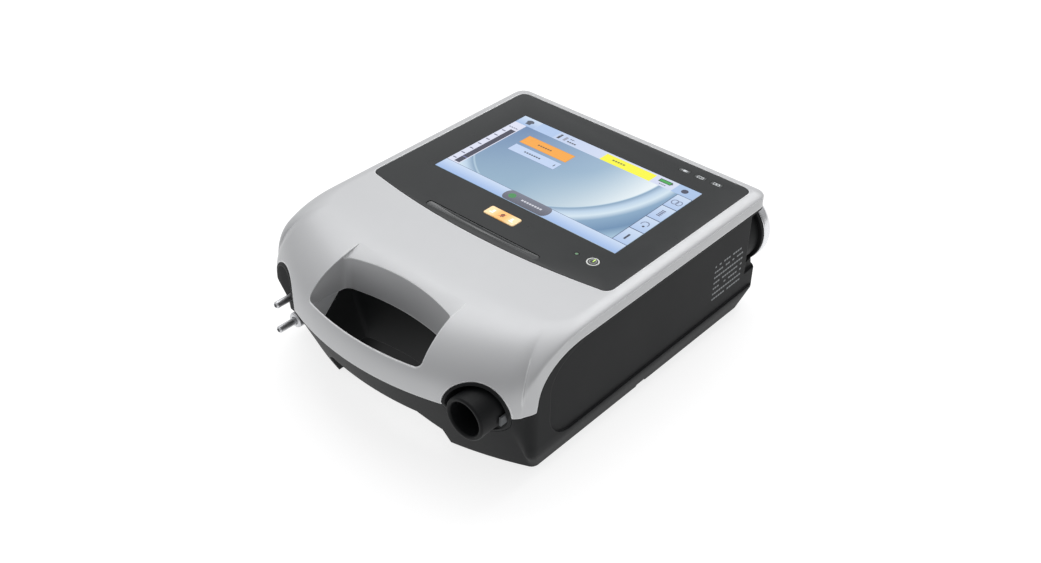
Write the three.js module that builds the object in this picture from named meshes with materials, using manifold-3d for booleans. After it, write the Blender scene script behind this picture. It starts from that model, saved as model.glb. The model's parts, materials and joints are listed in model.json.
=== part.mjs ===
// A portable bedside ventilator, in millimetres: +Z is up, the handle points to -Y and the screen is read from -Y.
// Shapes are three.js geometries, and manifold-3d joins and cuts them. The default export is the finished group.
import * as THREE from "three";
import { ParametricGeometry } from "three/addons/geometries/ParametricGeometry.js";
import { mergeVertices } from "three/addons/utils/BufferGeometryUtils.js";
import Module from "manifold-3d";

const wasm = await Module();
wasm.setup();

// ---- driving sizes ----
const length = 285; // from the handle to the air inlet cover
const width = 214.9;
const height = 93;
const wall = 3; // shell, housing and front glass
const gap = 0.3; // between pieces that touch
const baseLift = 1; // the housing's floor above the ground, on its feet

const frontRadius = 200; // plan radius of the curved front
const cornerRadius = 22; // front corners in plan
const rearCornerRadius = 9;
const rimWidth = 8; // the sloping rim round the glass
const rimDrop = 3; // how far the rim falls over its width
const bandHeight = 7; // upright band of the shell below the rim
const noseHeight = 54; // height of the foremost line of the front
const seamHeight = 52; // joint of shell and housing across the front
const wellSeam = 66; // the same joint inside the handle opening
const topFade = 64.5; // how far behind the foremost line the flat top begins
const dipReach = 86.5; // where the side rim starts to dip, behind the foremost line
const dipLength = 54;
const bandReach = 84.5; // where the band's lower edge starts to dip
const bandLength = 42.5;

const baseInset = 6; // the base is narrower than the body on each side
const baseNose = 25.5; // and starts this far behind the foremost line
const baseTail = 5.4;
const baseRadius = 237;
const baseCorner = 5;
const bevelHeight = 18; // where the sides stop being upright

const coverReach = 12.8; // the air inlet cover stands out behind the shell
const displayWidth = 152.4; // seven inches across, five by three
const displayDepth = 91.44;
const displayMargin = 25.8; // from the glass's rear edge to the display
const displayShift = 1.1; // the display sits this far right of the middle
const glassLength = 160.9;
const glassFrontRadius = 510;
const glassCorner = 6;

const gripHalf = 48; // half of the handle opening's width in front
const gripTaper = 0.035; // how much its sides bow and draw in towards the rear
const gripLip = 2.2; // shell in front of the handle opening
const gripRear = 49; // the opening's rear edge behind the foremost line
const gripRearRadius = 159;
const gripCorner = 3.5;
const scoopStart = 51.5; // the lead-in behind the opening begins this far behind the foremost line
const scoopSlope = 0.36; // and falls this much per millimetre
const archHeight = 28; // the handle's underside above the ground
const archHalf = 50; // half of the gap between the front blocks
const archDepth = 50; // how far that gap reaches back

const portSpread = 81.6; // from the middle to each front port
const portHeight = 53;
const portRadius = 18.8; // the arch cut for each port
const tubeRadius = 14; // inspiratory port
const tubeBore = 11;
const tubeReach = 9; // the tube's mouth behind the foremost line
const spigotRadius = 2.4;
const spigotHeights = { upper: 48, lower: 28.5 };
const spigotReach = 9.8;
const collarRadius = 5.2;

const bayFloor = 33; // the rear connector bay
const bayTop = 80;
const bayDepth = 15.7;
const lipReach = 6.3; // the bumper below the bay stands out behind the shell
const inletSpread = 79.3; // the air inlet, from the middle
const inletHeight = 52.1;
const inletRadius = 27.3;
const inletSocket = 24;
const coverThickness = 11.2;

const sides = { large: 20, small: 12 }; // facets of large and small round shapes

// ---- places that follow from them ----
const half = width / 2;
const frontY = -length / 2;
const rearY = length / 2 - coverReach;
const glassTop = height;
const glassBottom = height - wall;
const frameTop = glassBottom - gap;
const frameThickness = 2;
const frameBottom = frameTop - frameThickness;
const glassRear = rearY - rimWidth;
const glassFront = glassRear - glassLength;
const displayRear = glassRear - displayMargin;
const displayMiddle = displayRear - displayDepth / 2;
const bayY = rearY - bayDepth;
const coverFront = length / 2 - coverThickness;
const floorTop = baseLift + wall;
const far = 400; // longer than the object, for cutting tools

// ---- shape helpers ----
const clamp = (t) => Math.min(1, Math.max(0, t));
const mix = (a, b, t) => a + (b - a) * t;
const roundOff = (t, power) => (1 - clamp(t) ** power) ** (1 / power);

/** A closed geometry as a solid: vertices merged, the slivers of collapsed poles dropped, faces outward. */
function solid(geometry) {
  const bare = geometry.clone();
  bare.deleteAttribute("normal");
  bare.deleteAttribute("uv");
  const merged = mergeVertices(bare, 1e-4);
  const corners = [];
  const index = merged.index.array;
  for (let i = 0; i < index.length; i += 3) {
    const [a, b, c] = index.slice(i, i + 3);
    if (a !== b && b !== c && c !== a) corners.push(a, b, c);
  }
  const vertProperties = merged.getAttribute("position").array;
  const bodyOf = (triVerts) => new wasm.Manifold(new wasm.Mesh({ numProp: 3, vertProperties, triVerts }));
  const body = bodyOf(new Uint32Array(corners));
  return body.volume() < 0 ? bodyOf(new Uint32Array(corners.reverse())) : body;
}

function geometryOf(body) {
  const mesh = body.getMesh();
  const geometry = new THREE.BufferGeometry();
  geometry.setAttribute("position", new THREE.BufferAttribute(mesh.vertProperties, 3));
  geometry.setIndex(new THREE.BufferAttribute(mesh.triVerts, 1));
  return geometry;
}

const cut = (body, ...tools) => tools.reduce((left, tool) => left.subtract(tool), body);
const join = (...bodies) => bodies.reduce((sum, body) => sum.add(body));
const mirrored = (build) => join(build(1), build(-1));

function box(x0, x1, y0, y1, z0, z1) {
  const geometry = new THREE.BoxGeometry(x1 - x0, y1 - y0, z1 - z0);
  return solid(geometry.translate((x0 + x1) / 2, (y0 + y1) / 2, (z0 + z1) / 2));
}

function rod(radius, from, to, facets) {
  return new THREE.CylinderGeometry(radius, radius, to - from, facets).translate(0, (from + to) / 2, 0);
}

/** Cylinders along one axis: two coordinates of the axis, a radius, and the stretch along it. */
const cylinderY = (x, z, radius, y0, y1, facets = sides.large) =>
  solid(rod(radius, y0, y1, facets).translate(x, 0, z));
const cylinderZ = (x, y, radius, z0, z1, facets = sides.large) =>
  solid(rod(radius, z0, z1, facets).rotateX(Math.PI / 2).translate(x, y, 0));
const cylinderX = (y, z, radius, x0, x1, facets = sides.large) =>
  solid(rod(radius, -x1, -x0, facets).rotateZ(Math.PI / 2).translate(0, y, z));

const outline = (points) => new THREE.Shape(points.map(([a, b]) => new THREE.Vector2(a, b)));
const extrude = (shape, depth) =>
  new THREE.ExtrudeGeometry(shape, { depth, bevelEnabled: false, curveSegments: 2 });

/** A plan outline raised from z0 to z1. */
const prismZ = (shape, z0, z1) => solid(extrude(shape, z1 - z0).translate(0, 0, z0));
/** A side outline of (y, z) points stretched from x0 to x1. */
const prismX = (shape, x0, x1) =>
  solid(extrude(shape, x1 - x0).rotateX(Math.PI / 2).rotateZ(Math.PI / 2).translate(x0, 0, 0));
/** A front outline of (x, z) points stretched from y0 to y1. */
const prismY = (shape, y0, y1) => solid(extrude(shape, y1 - y0).rotateX(Math.PI / 2).translate(0, y1, 0));

function roundedRect(x0, x1, y0, y1, radius) {
  const shape = new THREE.Shape();
  shape.absarc(x1 - radius, y1 - radius, radius, 0, Math.PI / 2);
  shape.absarc(x0 + radius, y1 - radius, radius, Math.PI / 2, Math.PI);
  shape.absarc(x0 + radius, y0 + radius, radius, Math.PI, Math.PI * 1.5);
  shape.absarc(x1 - radius, y0 + radius, radius, Math.PI * 1.5, Math.PI * 2);
  return shape;
}

/** A turned piece about a line along Y: the profile lists [radius, y] and closes on itself. */
function turnedY(x, z, profile, facets = sides.large) {
  const points = [...profile, profile[0]].map(([radius, y]) => new THREE.Vector2(radius, y));
  const body = solid(new THREE.LatheGeometry(points, facets));
  return body.translate([x, 0, z]);
}

/** A closed loft: rings of one point for each station, between a bottom and a top point on the axis. */
function loft(stations, bottom, rings, top) {
  const rows = rings.length + 1;
  const surface = new ParametricGeometry(
    (u, v, target) => {
      const row = Math.round(v * rows);
      const station = stations[Math.round(u * stations.length) % stations.length];
      if (row === 0) target.copy(bottom);
      else if (row === rows) target.copy(top);
      else target.copy(rings[row - 1](station));
    },
    stations.length,
    rows,
  );
  return solid(surface);
}

// ---- the body's own surface ----
/** Where a plan corner of radius `corner` meets the side line and the big front arc. */
function frontCorner(side, nose, radius, corner) {
  const x = side - corner;
  const centre = nose + radius;
  const y = centre - Math.sqrt((radius - corner) ** 2 - x ** 2);
  return { x, y, centre, radius, corner, join: Math.asin(x / (radius - corner)) };
}

const bodyCorner = frontCorner(half, frontY, frontRadius, cornerRadius);
const footCorner = frontCorner(half - baseInset, frontY + baseNose, baseRadius, baseCorner);
const dipStart = frontY + dipReach;
const sideEnd = dipStart + 6; // behind this the rim keeps its width
const innerCornerX = half - rimWidth - 15.5;
const innerFrontRadius = 600;
const innerFrontY = (x) => frontY + topFade + x ** 2 / (2 * innerFrontRadius);

/** A point and its outward normal on an arc of a corner: turn 0 faces +X, the end faces the front. */
function onCorner(place, turn) {
  const normal = new THREE.Vector2(Math.cos(turn), -Math.sin(turn));
  return { at: new THREE.Vector2(place.x, place.y).addScaledVector(normal, place.corner), normal };
}

function onFront(place, angle) {
  const normal = new THREE.Vector2(Math.sin(angle), -Math.cos(angle));
  return { at: new THREE.Vector2(0, place.centre).addScaledVector(normal, place.radius), normal };
}

const facing = (x, y, normalX, normalY) => ({
  at: new THREE.Vector2(x, y),
  normal: new THREE.Vector2(normalX, normalY),
});

/** The stations of the right half, from the rear middle round to the front middle. */
function rightStations() {
  const stations = [];
  const baseSide = half - baseInset;
  const baseRear = rearY - baseTail;
  const add = (body, foot, inner, forward) => stations.push({ body, foot, inner, forward });
  const inward = (place) => place.at.clone().addScaledVector(place.normal, -rimWidth);
  for (const share of [0, 0.5]) {
    const body = facing(share * (half - rearCornerRadius), rearY, 0, 1);
    add(body, facing(share * (baseSide - rearCornerRadius), baseRear, 0, 1), inward(body), 0);
  }
  for (let i = 0; i < 4; i++) {
    const turn = (1 - i / 4) * (Math.PI / 2);
    const out = new THREE.Vector2(Math.cos(turn), Math.sin(turn));
    const round = (x, y) => facing(x + rearCornerRadius * out.x, y + rearCornerRadius * out.y, out.x, out.y);
    const body = round(half - rearCornerRadius, rearY - rearCornerRadius);
    add(body, round(baseSide - rearCornerRadius, baseRear - rearCornerRadius), inward(body), 0);
  }
  for (let i = 0; i < 3; i++) {
    const y = mix(rearY - rearCornerRadius, sideEnd, i / 3);
    const baseY = mix(baseRear - rearCornerRadius, sideEnd, i / 3);
    const body = facing(half, y, 1, 0);
    add(body, facing(baseSide, baseY, 1, 0), inward(body), 0);
  }
  const straight = sideEnd - bodyCorner.y;
  const bend = cornerRadius * (Math.PI / 2 - bodyCorner.join);
  const cornerSteps = 12;
  for (let i = 0; i < cornerSteps; i++) {
    const share = i / cornerSteps;
    const run = share * (straight + bend);
    const turned = Math.max(0, run - straight) / bend;
    const body =
      run < straight ? facing(half, sideEnd - run, 1, 0) : onCorner(bodyCorner, (turned * bend) / cornerRadius);
    const footY = mix(sideEnd, footCorner.y, Math.min(1, run / straight));
    const foot =
      run < straight
        ? facing(half - baseInset, footY, 1, 0)
        : onCorner(footCorner, turned * (Math.PI / 2 - footCorner.join));
    const swing = share * (Math.PI / 2);
    const inner = new THREE.Vector2(
      mix(innerCornerX, half - rimWidth, Math.cos(swing) ** 0.8),
      mix(sideEnd, innerFrontY(innerCornerX), Math.sin(swing) ** 0.8),
    );
    add(body, foot, inner, turned * turned * (3 - 2 * turned));
  }
  const frontSteps = 7;
  for (let i = 0; i <= frontSteps; i++) {
    const share = 1 - i / frontSteps;
    const x = innerCornerX * share;
    const inner = new THREE.Vector2(x, innerFrontY(x));
    add(onFront(bodyCorner, bodyCorner.join * share), onFront(footCorner, footCorner.join * share), inner, 1);
  }
  return stations;
}

const flip = (point) => new THREE.Vector2(-point.x, point.y);
const flipPlace = (place) => ({ at: flip(place.at), normal: flip(place.normal) });

/** Right half and its mirror image as one loop. */
function allStations() {
  const right = rightStations();
  const left = right
    .slice(1, -1)
    .reverse()
    .map((s) => ({ body: flipPlace(s.body), foot: flipPlace(s.foot), inner: flip(s.inner), forward: s.forward }));
  return [...right, ...left];
}

/** Height of the outer edge of the rim: level along the sides, falling round the front corners. */
const rimHeight = (y) =>
  mix(noseHeight, height - rimDrop, roundOff((dipStart - y) / dipLength, 2.3));
/** Height of the shell's lower edge. */
const seamAt = (y) =>
  mix(seamHeight, height - rimDrop - bandHeight, roundOff((frontY + bandReach - y) / bandLength, 2.35));

const stations = allStations();

/** The body as one closed solid, drawn `inset` inside its outer surface. */
function bodySolid(inset) {
  const bottom = baseLift + inset;
  const top = height - inset;
  const edge = (s) => s.body.at.clone().addScaledVector(s.body.normal, -inset);
  const foot = (s) => s.foot.at.clone().addScaledVector(s.foot.normal, -inset);
  const lower = (z) => (s) => {
    const upright = clamp((z - baseLift) / (bevelHeight - baseLift));
    const raked = clamp(z / noseHeight);
    const at = foot(s).lerp(edge(s), mix(upright, raked, s.forward));
    return new THREE.Vector3(at.x, at.y, z);
  };
  const crown = (share) => (s) => {
    const rim = Math.min(rimHeight(s.body.at.y), top);
    const power = 1.5 + 0.75 * clamp((height - rim - rimDrop) / (height - noseHeight - rimDrop));
    const angle = (share * Math.PI) / 2;
    const at = s.inner.clone().lerp(edge(s), Math.cos(angle) ** (2 / power));
    return new THREE.Vector3(at.x, at.y, rim + (top - rim) * Math.sin(angle) ** (2 / power));
  };
  const rings = [bottom, bevelHeight, 36].map(lower);
  const crownSteps = 6;
  for (let i = 0; i <= crownSteps; i++) rings.push(crown(i / crownSteps));
  return loft(stations, new THREE.Vector3(0, 0, bottom), rings, new THREE.Vector3(0, 0, top));
}

/** Everything below the joint of shell and housing. */
function belowSeam(drop) {
  const ring = (share, z) => (s) =>
    new THREE.Vector3(s.body.at.x * share, s.body.at.y * share, typeof z === "number" ? z : z(s) - drop);
  const seam = (s) => seamAt(s.body.at.y);
  const inside = (s) => (s.body.at.y > 0 ? seam(s) : wellSeam);
  return loft(
    stations,
    new THREE.Vector3(0, 0, -far),
    [ring(1.5, -far), ring(1.5, seam), ring(0.93, seam), ring(0.82, inside)],
    new THREE.Vector3(0, 0, wellSeam - drop),
  );
}

/** The handle opening at one height: a rounded quadrilateral between two arcs. */
function gripOutline(grow, halfWidth, frontShift, rearShift) {
  const points = [];
  const place = (u, v) => {
    const x = (halfWidth + grow) * u * (1 - gripTaper * (v + v ** 2));
    const arc = frontRadius - gripLip + grow;
    const front = frontY + frontRadius - Math.sqrt(arc ** 2 - x ** 2) + frontShift;
    const rear = frontY + gripRear + rearShift + grow - x ** 2 / (2 * gripRearRadius);
    points.push({ x, y: mix(front, rear, (v + 1) / 2) });
  };
  const cornerSteps = 4;
  const edgeSteps = 4;
  const round = { u: gripCorner / gripHalf, v: (2 * gripCorner) / (gripRear - gripLip) };
  for (let i = 0; i < 4; i++) {
    const side = i === 0 || i === 3 ? 1 : -1;
    const end = i < 2 ? 1 : -1;
    for (let k = 0; k <= cornerSteps; k++) {
      const angle = ((i + k / cornerSteps) * Math.PI) / 2;
      place(side * (1 - round.u) + round.u * Math.cos(angle), end * (1 - round.v) + round.v * Math.sin(angle));
    }
    if (i % 2) continue;
    for (let k = 1; k < edgeSteps; k++) place(side * (1 - round.u) * (1 - (2 * k) / edgeSteps), end);
  }
  return points;
}

const gripLevels = {
  top: { z: 120, halfWidth: gripHalf, frontShift: 0, rearShift: -1.6 },
  seam: { z: wellSeam, halfWidth: gripHalf - 1, frontShift: 2, rearShift: -5 },
  well: { z: wellSeam, halfWidth: gripHalf - 1, frontShift: 2, rearShift: -1 },
  under: { z: archHeight - wall - 2, halfWidth: archHalf - 13, frontShift: 21, rearShift: -1 },
};

/** A hole between two outlines of the opening. */
function gripPart(grow, low, high) {
  const places = [low, high].map((level) =>
    gripOutline(grow, level.halfWidth, level.frontShift, level.rearShift),
  );
  const indices = places[0].map((_, i) => i);
  const ring = (which, z) => (i) => new THREE.Vector3(places[which][i].x, places[which][i].y, z);
  const middleY = frontY + gripRear / 2;
  const low3 = new THREE.Vector3(0, middleY + 8, low.z);
  return loft(indices, low3, [ring(0, low.z), ring(1, high.z)], new THREE.Vector3(0, middleY, high.z));
}

const gripTool = (grow) =>
  join(
    gripPart(grow, { ...gripLevels.seam, z: wellSeam - 0.5 }, gripLevels.top),
    gripPart(grow, gripLevels.under, gripLevels.well),
  );

/** The gap under the handle, between the two front blocks. */
function archTool(grow) {
  const side = archHalf + grow;
  const points = [
    [-side, -far],
    [side, -far],
    [side, 16 + grow / 2],
    [side - 6, 21 + grow / 2],
    [side - 13, archHeight + grow],
    [13 - side, archHeight + grow],
    [6 - side, 21 + grow / 2],
    [-side, 16 + grow / 2],
  ];
  return prismY(outline(points), frontY - far, frontY + archDepth + grow);
}

const bayTool = (grow) => box(-far, far, bayY - grow, far, bayFloor - grow, bayTop + grow);

/** The rear bumper below the connector bay. */
function bumper() {
  const out = rearY + lipReach;
  const profile = [
    [bayY - wall + 1, 6],
    [out - 10, 6],
    [out - 3, 11],
    [out, 18],
    [out - 1.5, 26],
    [out - 6, 31],
    [out - 10, bayFloor],
    [bayY - wall + 1, bayFloor],
  ];
  const side = half - baseInset - 2;
  const inletClearance = cylinderY(inletSpread, inletHeight, inletRadius + 1, coverFront - 1, far);
  return cut(prismX(outline(profile), -side, side), inletClearance);
}

/** The thin outer case with its openings, before it is split into shell and housing. */
function caseSkin() {
  const outer = cut(join(bodySolid(0), bumper()), gripTool(0), archTool(0), bayTool(0));
  const inner = cut(bodySolid(wall), gripTool(wall), archTool(wall), bayTool(wall));
  return cut(outer, inner);
}

const arches = () =>
  mirrored((side) => cylinderY(side * portSpread, portHeight, portRadius, frontY - 10, frontY + 55));

const skin = caseSkin();

// ---- shell and housing ----
/** Plan outline of the front glass, grown by a clearance. */
function glassOutline(grow) {
  const side = half - rimWidth + grow;
  const rear = glassRear + grow;
  const corner = glassCorner + grow;
  const frontAt = (x) => glassFront - grow + x ** 2 / (2 * glassFrontRadius);
  const shape = new THREE.Shape();
  shape.absarc(side - corner, rear - corner, corner, 0, Math.PI / 2);
  shape.absarc(corner - side, rear - corner, corner, Math.PI / 2, Math.PI);
  const low = frontAt(side - corner);
  shape.absarc(corner - side, low + corner, corner, Math.PI, Math.PI * 1.5);
  const steps = 8;
  for (let i = 1; i < steps; i++) {
    const x = mix(corner - side, side - corner, i / steps);
    shape.lineTo(x, frontAt(x));
  }
  shape.absarc(side - corner, low + corner, corner, Math.PI * 1.5, Math.PI * 2);
  return shape;
}

/** The lead-in that slopes down to the rear of the handle opening. */
function scoop() {
  const edge = frontY + scoopStart;
  const at = (reach) => [edge + reach, height - 0.5 + scoopSlope * reach];
  const side = gripHalf * (1 - 2 * gripTaper);
  return prismX(outline([at(5), at(-14), [edge - 14, height + 5], [edge + 5, height + 5]]), -side, side);
}

const postX = half - 11.5;
const frontPostY = frontY + 80.5;
const rearPostY = rearY - 31.7;
const postRadius = 4;
const screwReach = 18; // the posts end this far above the ground

function topShell() {
  const posts = mirrored((side) =>
    cut(
      cylinderZ(side * postX, frontPostY, postRadius, screwReach, glassBottom + 1, sides.small),
      cylinderZ(side * postX, frontPostY, 1.7, 0, screwReach + 12, 10),
    ),
  );
  const shell = cut(skin, belowSeam(0));
  return cut(join(shell, posts), prismZ(glassOutline(0), glassBottom - 10, far), scoop(), arches());
}

/** The shallow panel in each side of the housing. */
function sidePanel(side) {
  const low = 20;
  const high = height - rimDrop - bandHeight - 1.5;
  const front = frontY + 53.5;
  const shape = new THREE.Shape();
  shape.moveTo(far, low);
  shape.lineTo(far, high);
  shape.lineTo(frontY + 84, high);
  shape.quadraticCurveTo(front + 3, high - 4, front, high - 22);
  shape.lineTo(front, low + 20);
  shape.absarc(front + 20, low + 20, 20, Math.PI, Math.PI * 1.5);
  const depth = 1.4;
  return side > 0 ? prismX(shape, half - depth, half + 5) : prismX(shape, -half - 5, depth - half);
}

const footPlaces = [
  [76, frontY + 50.5],
  [82, rearY - 24.7],
];
const footRadius = 8;

const batteryBay = { x: 62, front: rearY - 124.7, rear: rearY - 44.7 };
const fanPlace = { x: -58, y: -38, half: 20 };
const speakerPlace = { x: -80, y: 8, radius: 15 };

/** Everything that is cut out of the housing's floor. */
function floorTools() {
  const low = -5;
  const tools = [];
  for (const [x, y] of footPlaces) {
    tools.push(mirrored((side) => cylinderZ(side * x, y, footRadius + gap, low, baseLift + 2.5, sides.small)));
  }
  for (const y of [frontPostY, rearPostY]) {
    tools.push(mirrored((side) => cylinderZ(side * postX, y, 3.3, low, baseLift + 1.8, 12)));
    tools.push(mirrored((side) => cylinderZ(side * postX, y, 1.9, low, floorTop + 1, 12)));
  }
  const { x, front, rear } = batteryBay;
  tools.push(prismZ(roundedRect(-x, x, front, rear, 3), low, floorTop + 1));
  for (let i = -2; i <= 2; i++) {
    const slotY = fanPlace.y + i * 6;
    tools.push(box(fanPlace.x - 14, fanPlace.x + 14, slotY - 1.4, slotY + 1.4, low, floorTop + 1));
  }
  for (let i = -1; i <= 1; i++) {
    const slotY = speakerPlace.y + i * 6;
    tools.push(box(speakerPlace.x - 9, speakerPlace.x + 9, slotY - 1.2, slotY + 1.2, low, floorTop + 1));
  }
  return join(...tools);
}

const panelWindow = { left: -half + 11.5, right: inletSpread - 35.3, low: bayFloor + 5, high: bayTop - 5 };

const adapterHalf = 12.5;
const adapterFoot = 17;

/** Front outline of the slot for the circuit adapter: the arch and a leg below it. */
function adapterTool(grow, y0, y1) {
  const round = cylinderY(-portSpread, portHeight, portRadius - grow, y0, y1);
  const leg = adapterHalf - grow;
  return join(round, box(-portSpread - leg, -portSpread + leg, y0, y1, adapterFoot + grow, portHeight));
}

function lowerHousing() {
  const { left, right, low, high } = panelWindow;
  const boss = cylinderY(inletSpread, inletHeight, inletSocket, bayY - 1, rearY + 1.3);
  const guard = prismX(
    outline([
      [bayY - 1, bayFloor - 1],
      [rearY - 4, bayFloor - 1],
      [rearY - 6, bayFloor + 8],
      [bayY - 1, bayFloor + 5],
    ]),
    half - 7.5,
    half - 3.5,
  );
  const notches = mirrored((side) => {
    const inner = side * (half - baseInset - 2);
    const outer = side * (half + 5);
    return box(Math.min(inner, outer), Math.max(inner, outer), 3.8, 13.4, -5, baseLift + 2);
  });
  return cut(
    join(skin.intersect(belowSeam(gap)), boss, guard),
    arches(),
    adapterTool(0, frontY - 10, frontY + 55),
    sidePanel(1),
    sidePanel(-1),
    notches,
    floorTools(),
    box(left, right, bayY - wall - 1, bayY + 1, low, high),
    cylinderY(inletSpread, inletHeight, inletSocket - 2.5, bayY + 1, far),
    cylinderY(inletSpread, inletHeight, 18, bayY - wall - 1, bayY + 2),
  );
}

// ---- the front panel ----
const mute = { y: displayMiddle - 61.6, halfX: 12.6, halfY: 4.8 };
const power = { x: 73.2, y: displayMiddle - 61.8, radius: 3, ring: 4.15 };
const sensor = { x: 60.6, y: power.y, radius: 1.5 };
const lightBar = { y: glassFront + 8.2, halfX: 46.5, halfY: 2.3 };
const statusNames = ["mains", "external", "battery"];
const statusPlace = (i) => ({ x: 53 + i * 12.8, y: displayRear + 15.9 });
const muteOutline = (grow) =>
  roundedRect(-mute.halfX - grow, mute.halfX + grow, mute.y - mute.halfY - grow, mute.y + mute.halfY + grow, 1.5);
const barOutline = (grow) =>
  roundedRect(
    -lightBar.halfX - grow,
    lightBar.halfX + grow,
    lightBar.y - lightBar.halfY - grow,
    lightBar.y + lightBar.halfY + grow,
    1.2,
  );
const statusOutline = (i, grow) => {
  const { x, y } = statusPlace(i);
  return roundedRect(x - 5 - grow, x + 3.5 + grow, y - 1.8 - grow, y + 1.8 + grow, 1);
};
const displayBox = (grow, z0, z1) =>
  box(
    displayShift - displayWidth / 2 - grow,
    displayShift + displayWidth / 2 + grow,
    displayMiddle - displayDepth / 2 - grow,
    displayRear + grow,
    z0,
    z1,
  );

function bezelGlass() {
  const plate = prismZ(glassOutline(-gap), glassBottom, glassTop);
  const through = (shape) => prismZ(shape, glassBottom - 5, glassTop + 5);
  return cut(
    plate,
    displayBox(gap, glassBottom - 5, glassTop + 5),
    through(muteOutline(gap)),
    through(barOutline(gap)),
    ...statusNames.map((_, i) => through(statusOutline(i, gap))),
    cylinderZ(power.x, power.y, power.ring + gap, glassBottom - 5, glassTop + 5, sides.small),
    cylinderZ(sensor.x, sensor.y, sensor.radius + gap, glassBottom - 5, glassTop + 5, 12),
  );
}

const lcdMargin = 1;

function displayFrame() {
  const plate = prismZ(glassOutline(1.8), frameBottom, frameTop);
  const posts = mirrored((side) =>
    cut(
      cylinderZ(side * postX, rearPostY, postRadius, screwReach, frameBottom + 1, sides.small),
      cylinderZ(side * postX, rearPostY, 1.7, 0, screwReach + 12, 10),
    ),
  );
  return cut(
    join(plate, posts),
    displayBox(lcdMargin + gap, 0, far),
    prismZ(muteOutline(gap), 0, far),
    cylinderZ(power.x, power.y, power.radius + gap, 0, far, sides.small),
  );
}

const lcdModule = () => displayBox(lcdMargin, frameBottom - 5, frameTop);
const touchDisplay = () => displayBox(0, glassBottom, glassTop);
const buttonTop = glassTop + 0.4;
const buttonFoot = frameBottom - 0.5;

function muteButton() {
  return join(
    prismZ(muteOutline(0), buttonFoot - 1, buttonTop),
    prismZ(muteOutline(1.2), buttonFoot - 1.6, buttonFoot),
  );
}

function powerButton() {
  return join(
    cylinderZ(power.x, power.y, power.radius, buttonFoot - 1, buttonTop, sides.small),
    cylinderZ(power.x, power.y, power.radius + 1.4, buttonFoot - 1.6, buttonFoot, sides.small),
  );
}

function powerButtonRing() {
  return cut(
    cylinderZ(power.x, power.y, power.ring, glassBottom, glassTop + 0.2, sides.large),
    cylinderZ(power.x, power.y, power.radius + gap, 0, far, sides.small),
  );
}

const alarmLightBar = () => prismZ(barOutline(0), glassBottom, glassTop - 0.4);
const statusLight = (i) => prismZ(statusOutline(i, 0), glassBottom, glassTop);
const lightSensor = () => cylinderZ(sensor.x, sensor.y, sensor.radius, glassBottom, glassTop, 12);

// ---- the front ports ----
const cupFloor = frontY + 28.5;
const cupBack = cupFloor + 2.8;
const sealFront = cupBack + gap;
const sealBack = sealFront + 1.6;
const flangeFront = sealBack + gap;
const flangeBack = flangeFront + 3;
const tubeEnd = flangeBack + 12;

function portSurround() {
  const rim = 1.7;
  const cup = cut(
    cylinderY(portSpread, portHeight, portRadius - gap, frontY - 5, cupBack),
    cylinderY(portSpread, portHeight, portRadius - gap - rim, frontY - 5, cupFloor),
    cylinderY(portSpread, portHeight, tubeRadius + gap, frontY - 5, cupBack + 5),
  );
  return cup.intersect(bodySolid(0));
}

function inspiratoryPort() {
  const mouth = frontY + tubeReach;
  return turnedY(portSpread, portHeight, [
    [tubeBore + 0.8, mouth],
    [tubeRadius - 0.8, mouth],
    [tubeRadius, mouth + 1],
    [tubeRadius, flangeFront],
    [tubeRadius + 2.5, flangeFront],
    [tubeRadius + 2.5, flangeBack],
    [tubeRadius - 1, flangeBack],
    [tubeRadius - 1, tubeEnd],
    [tubeBore, tubeEnd],
    [tubeBore, mouth + 1],
  ]);
}

const portSeal = () =>
  turnedY(portSpread, portHeight, [
    [tubeRadius + gap, sealFront],
    [tubeRadius + 2.2, sealFront],
    [tubeRadius + 2.2, sealBack],
    [tubeRadius + gap, sealBack],
  ]);

function alignmentKey() {
  const x = portSpread + tubeRadius + 0.5;
  return box(x, x + 1.3, cupFloor - 6, cupFloor - gap, portHeight - 4.5, portHeight + 1.5);
}

const adapterBack = frontY + 36.5;
const adapterRecess = frontY + 24.5;
const collarBack = frontY + 31.2;
const collarFront = frontY + 23;

function circuitAdapter() {
  const block = adapterTool(gap, frontY - 5, adapterBack).intersect(bodySolid(0));
  const hole = (name, radius, y1) =>
    cylinderY(-portSpread, spigotHeights[name], radius, frontY - 10, y1, sides.small);
  return cut(
    block,
    cylinderY(-portSpread, portHeight, portRadius - 2.2, frontY - 5, adapterRecess),
    hole("upper", spigotRadius + gap, adapterBack + 5),
    hole("lower", spigotRadius + gap, adapterBack + 5),
    hole("lower", collarRadius + gap, collarBack + gap),
  );
}

const spigotEnd = frontY + 52.2;

function spigot(name) {
  const tip = frontY + spigotReach;
  const bore = 1.3;
  return turnedY(
    -portSpread,
    spigotHeights[name],
    [
      [bore, tip],
      [spigotRadius - 0.5, tip],
      [spigotRadius, tip + 1],
      [spigotRadius, tip + 4],
      [spigotRadius - 0.3, tip + 4.6],
      [spigotRadius - 0.3, tip + 7],
      [spigotRadius, tip + 7.6],
      [spigotRadius, spigotEnd],
      [bore, spigotEnd],
    ],
    14,
  );
}

const spigotCollar = () =>
  turnedY(
    -portSpread,
    spigotHeights.lower,
    [
      [spigotRadius + gap, collarFront],
      [collarRadius - 0.8, collarFront],
      [collarRadius, collarFront + 0.8],
      [collarRadius, collarBack],
      [spigotRadius + gap, collarBack],
    ],
    sides.small,
  );

// ---- the rear ----
const panelFront = bayY - wall + gap;
const panelBack = bayY - gap;

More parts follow.
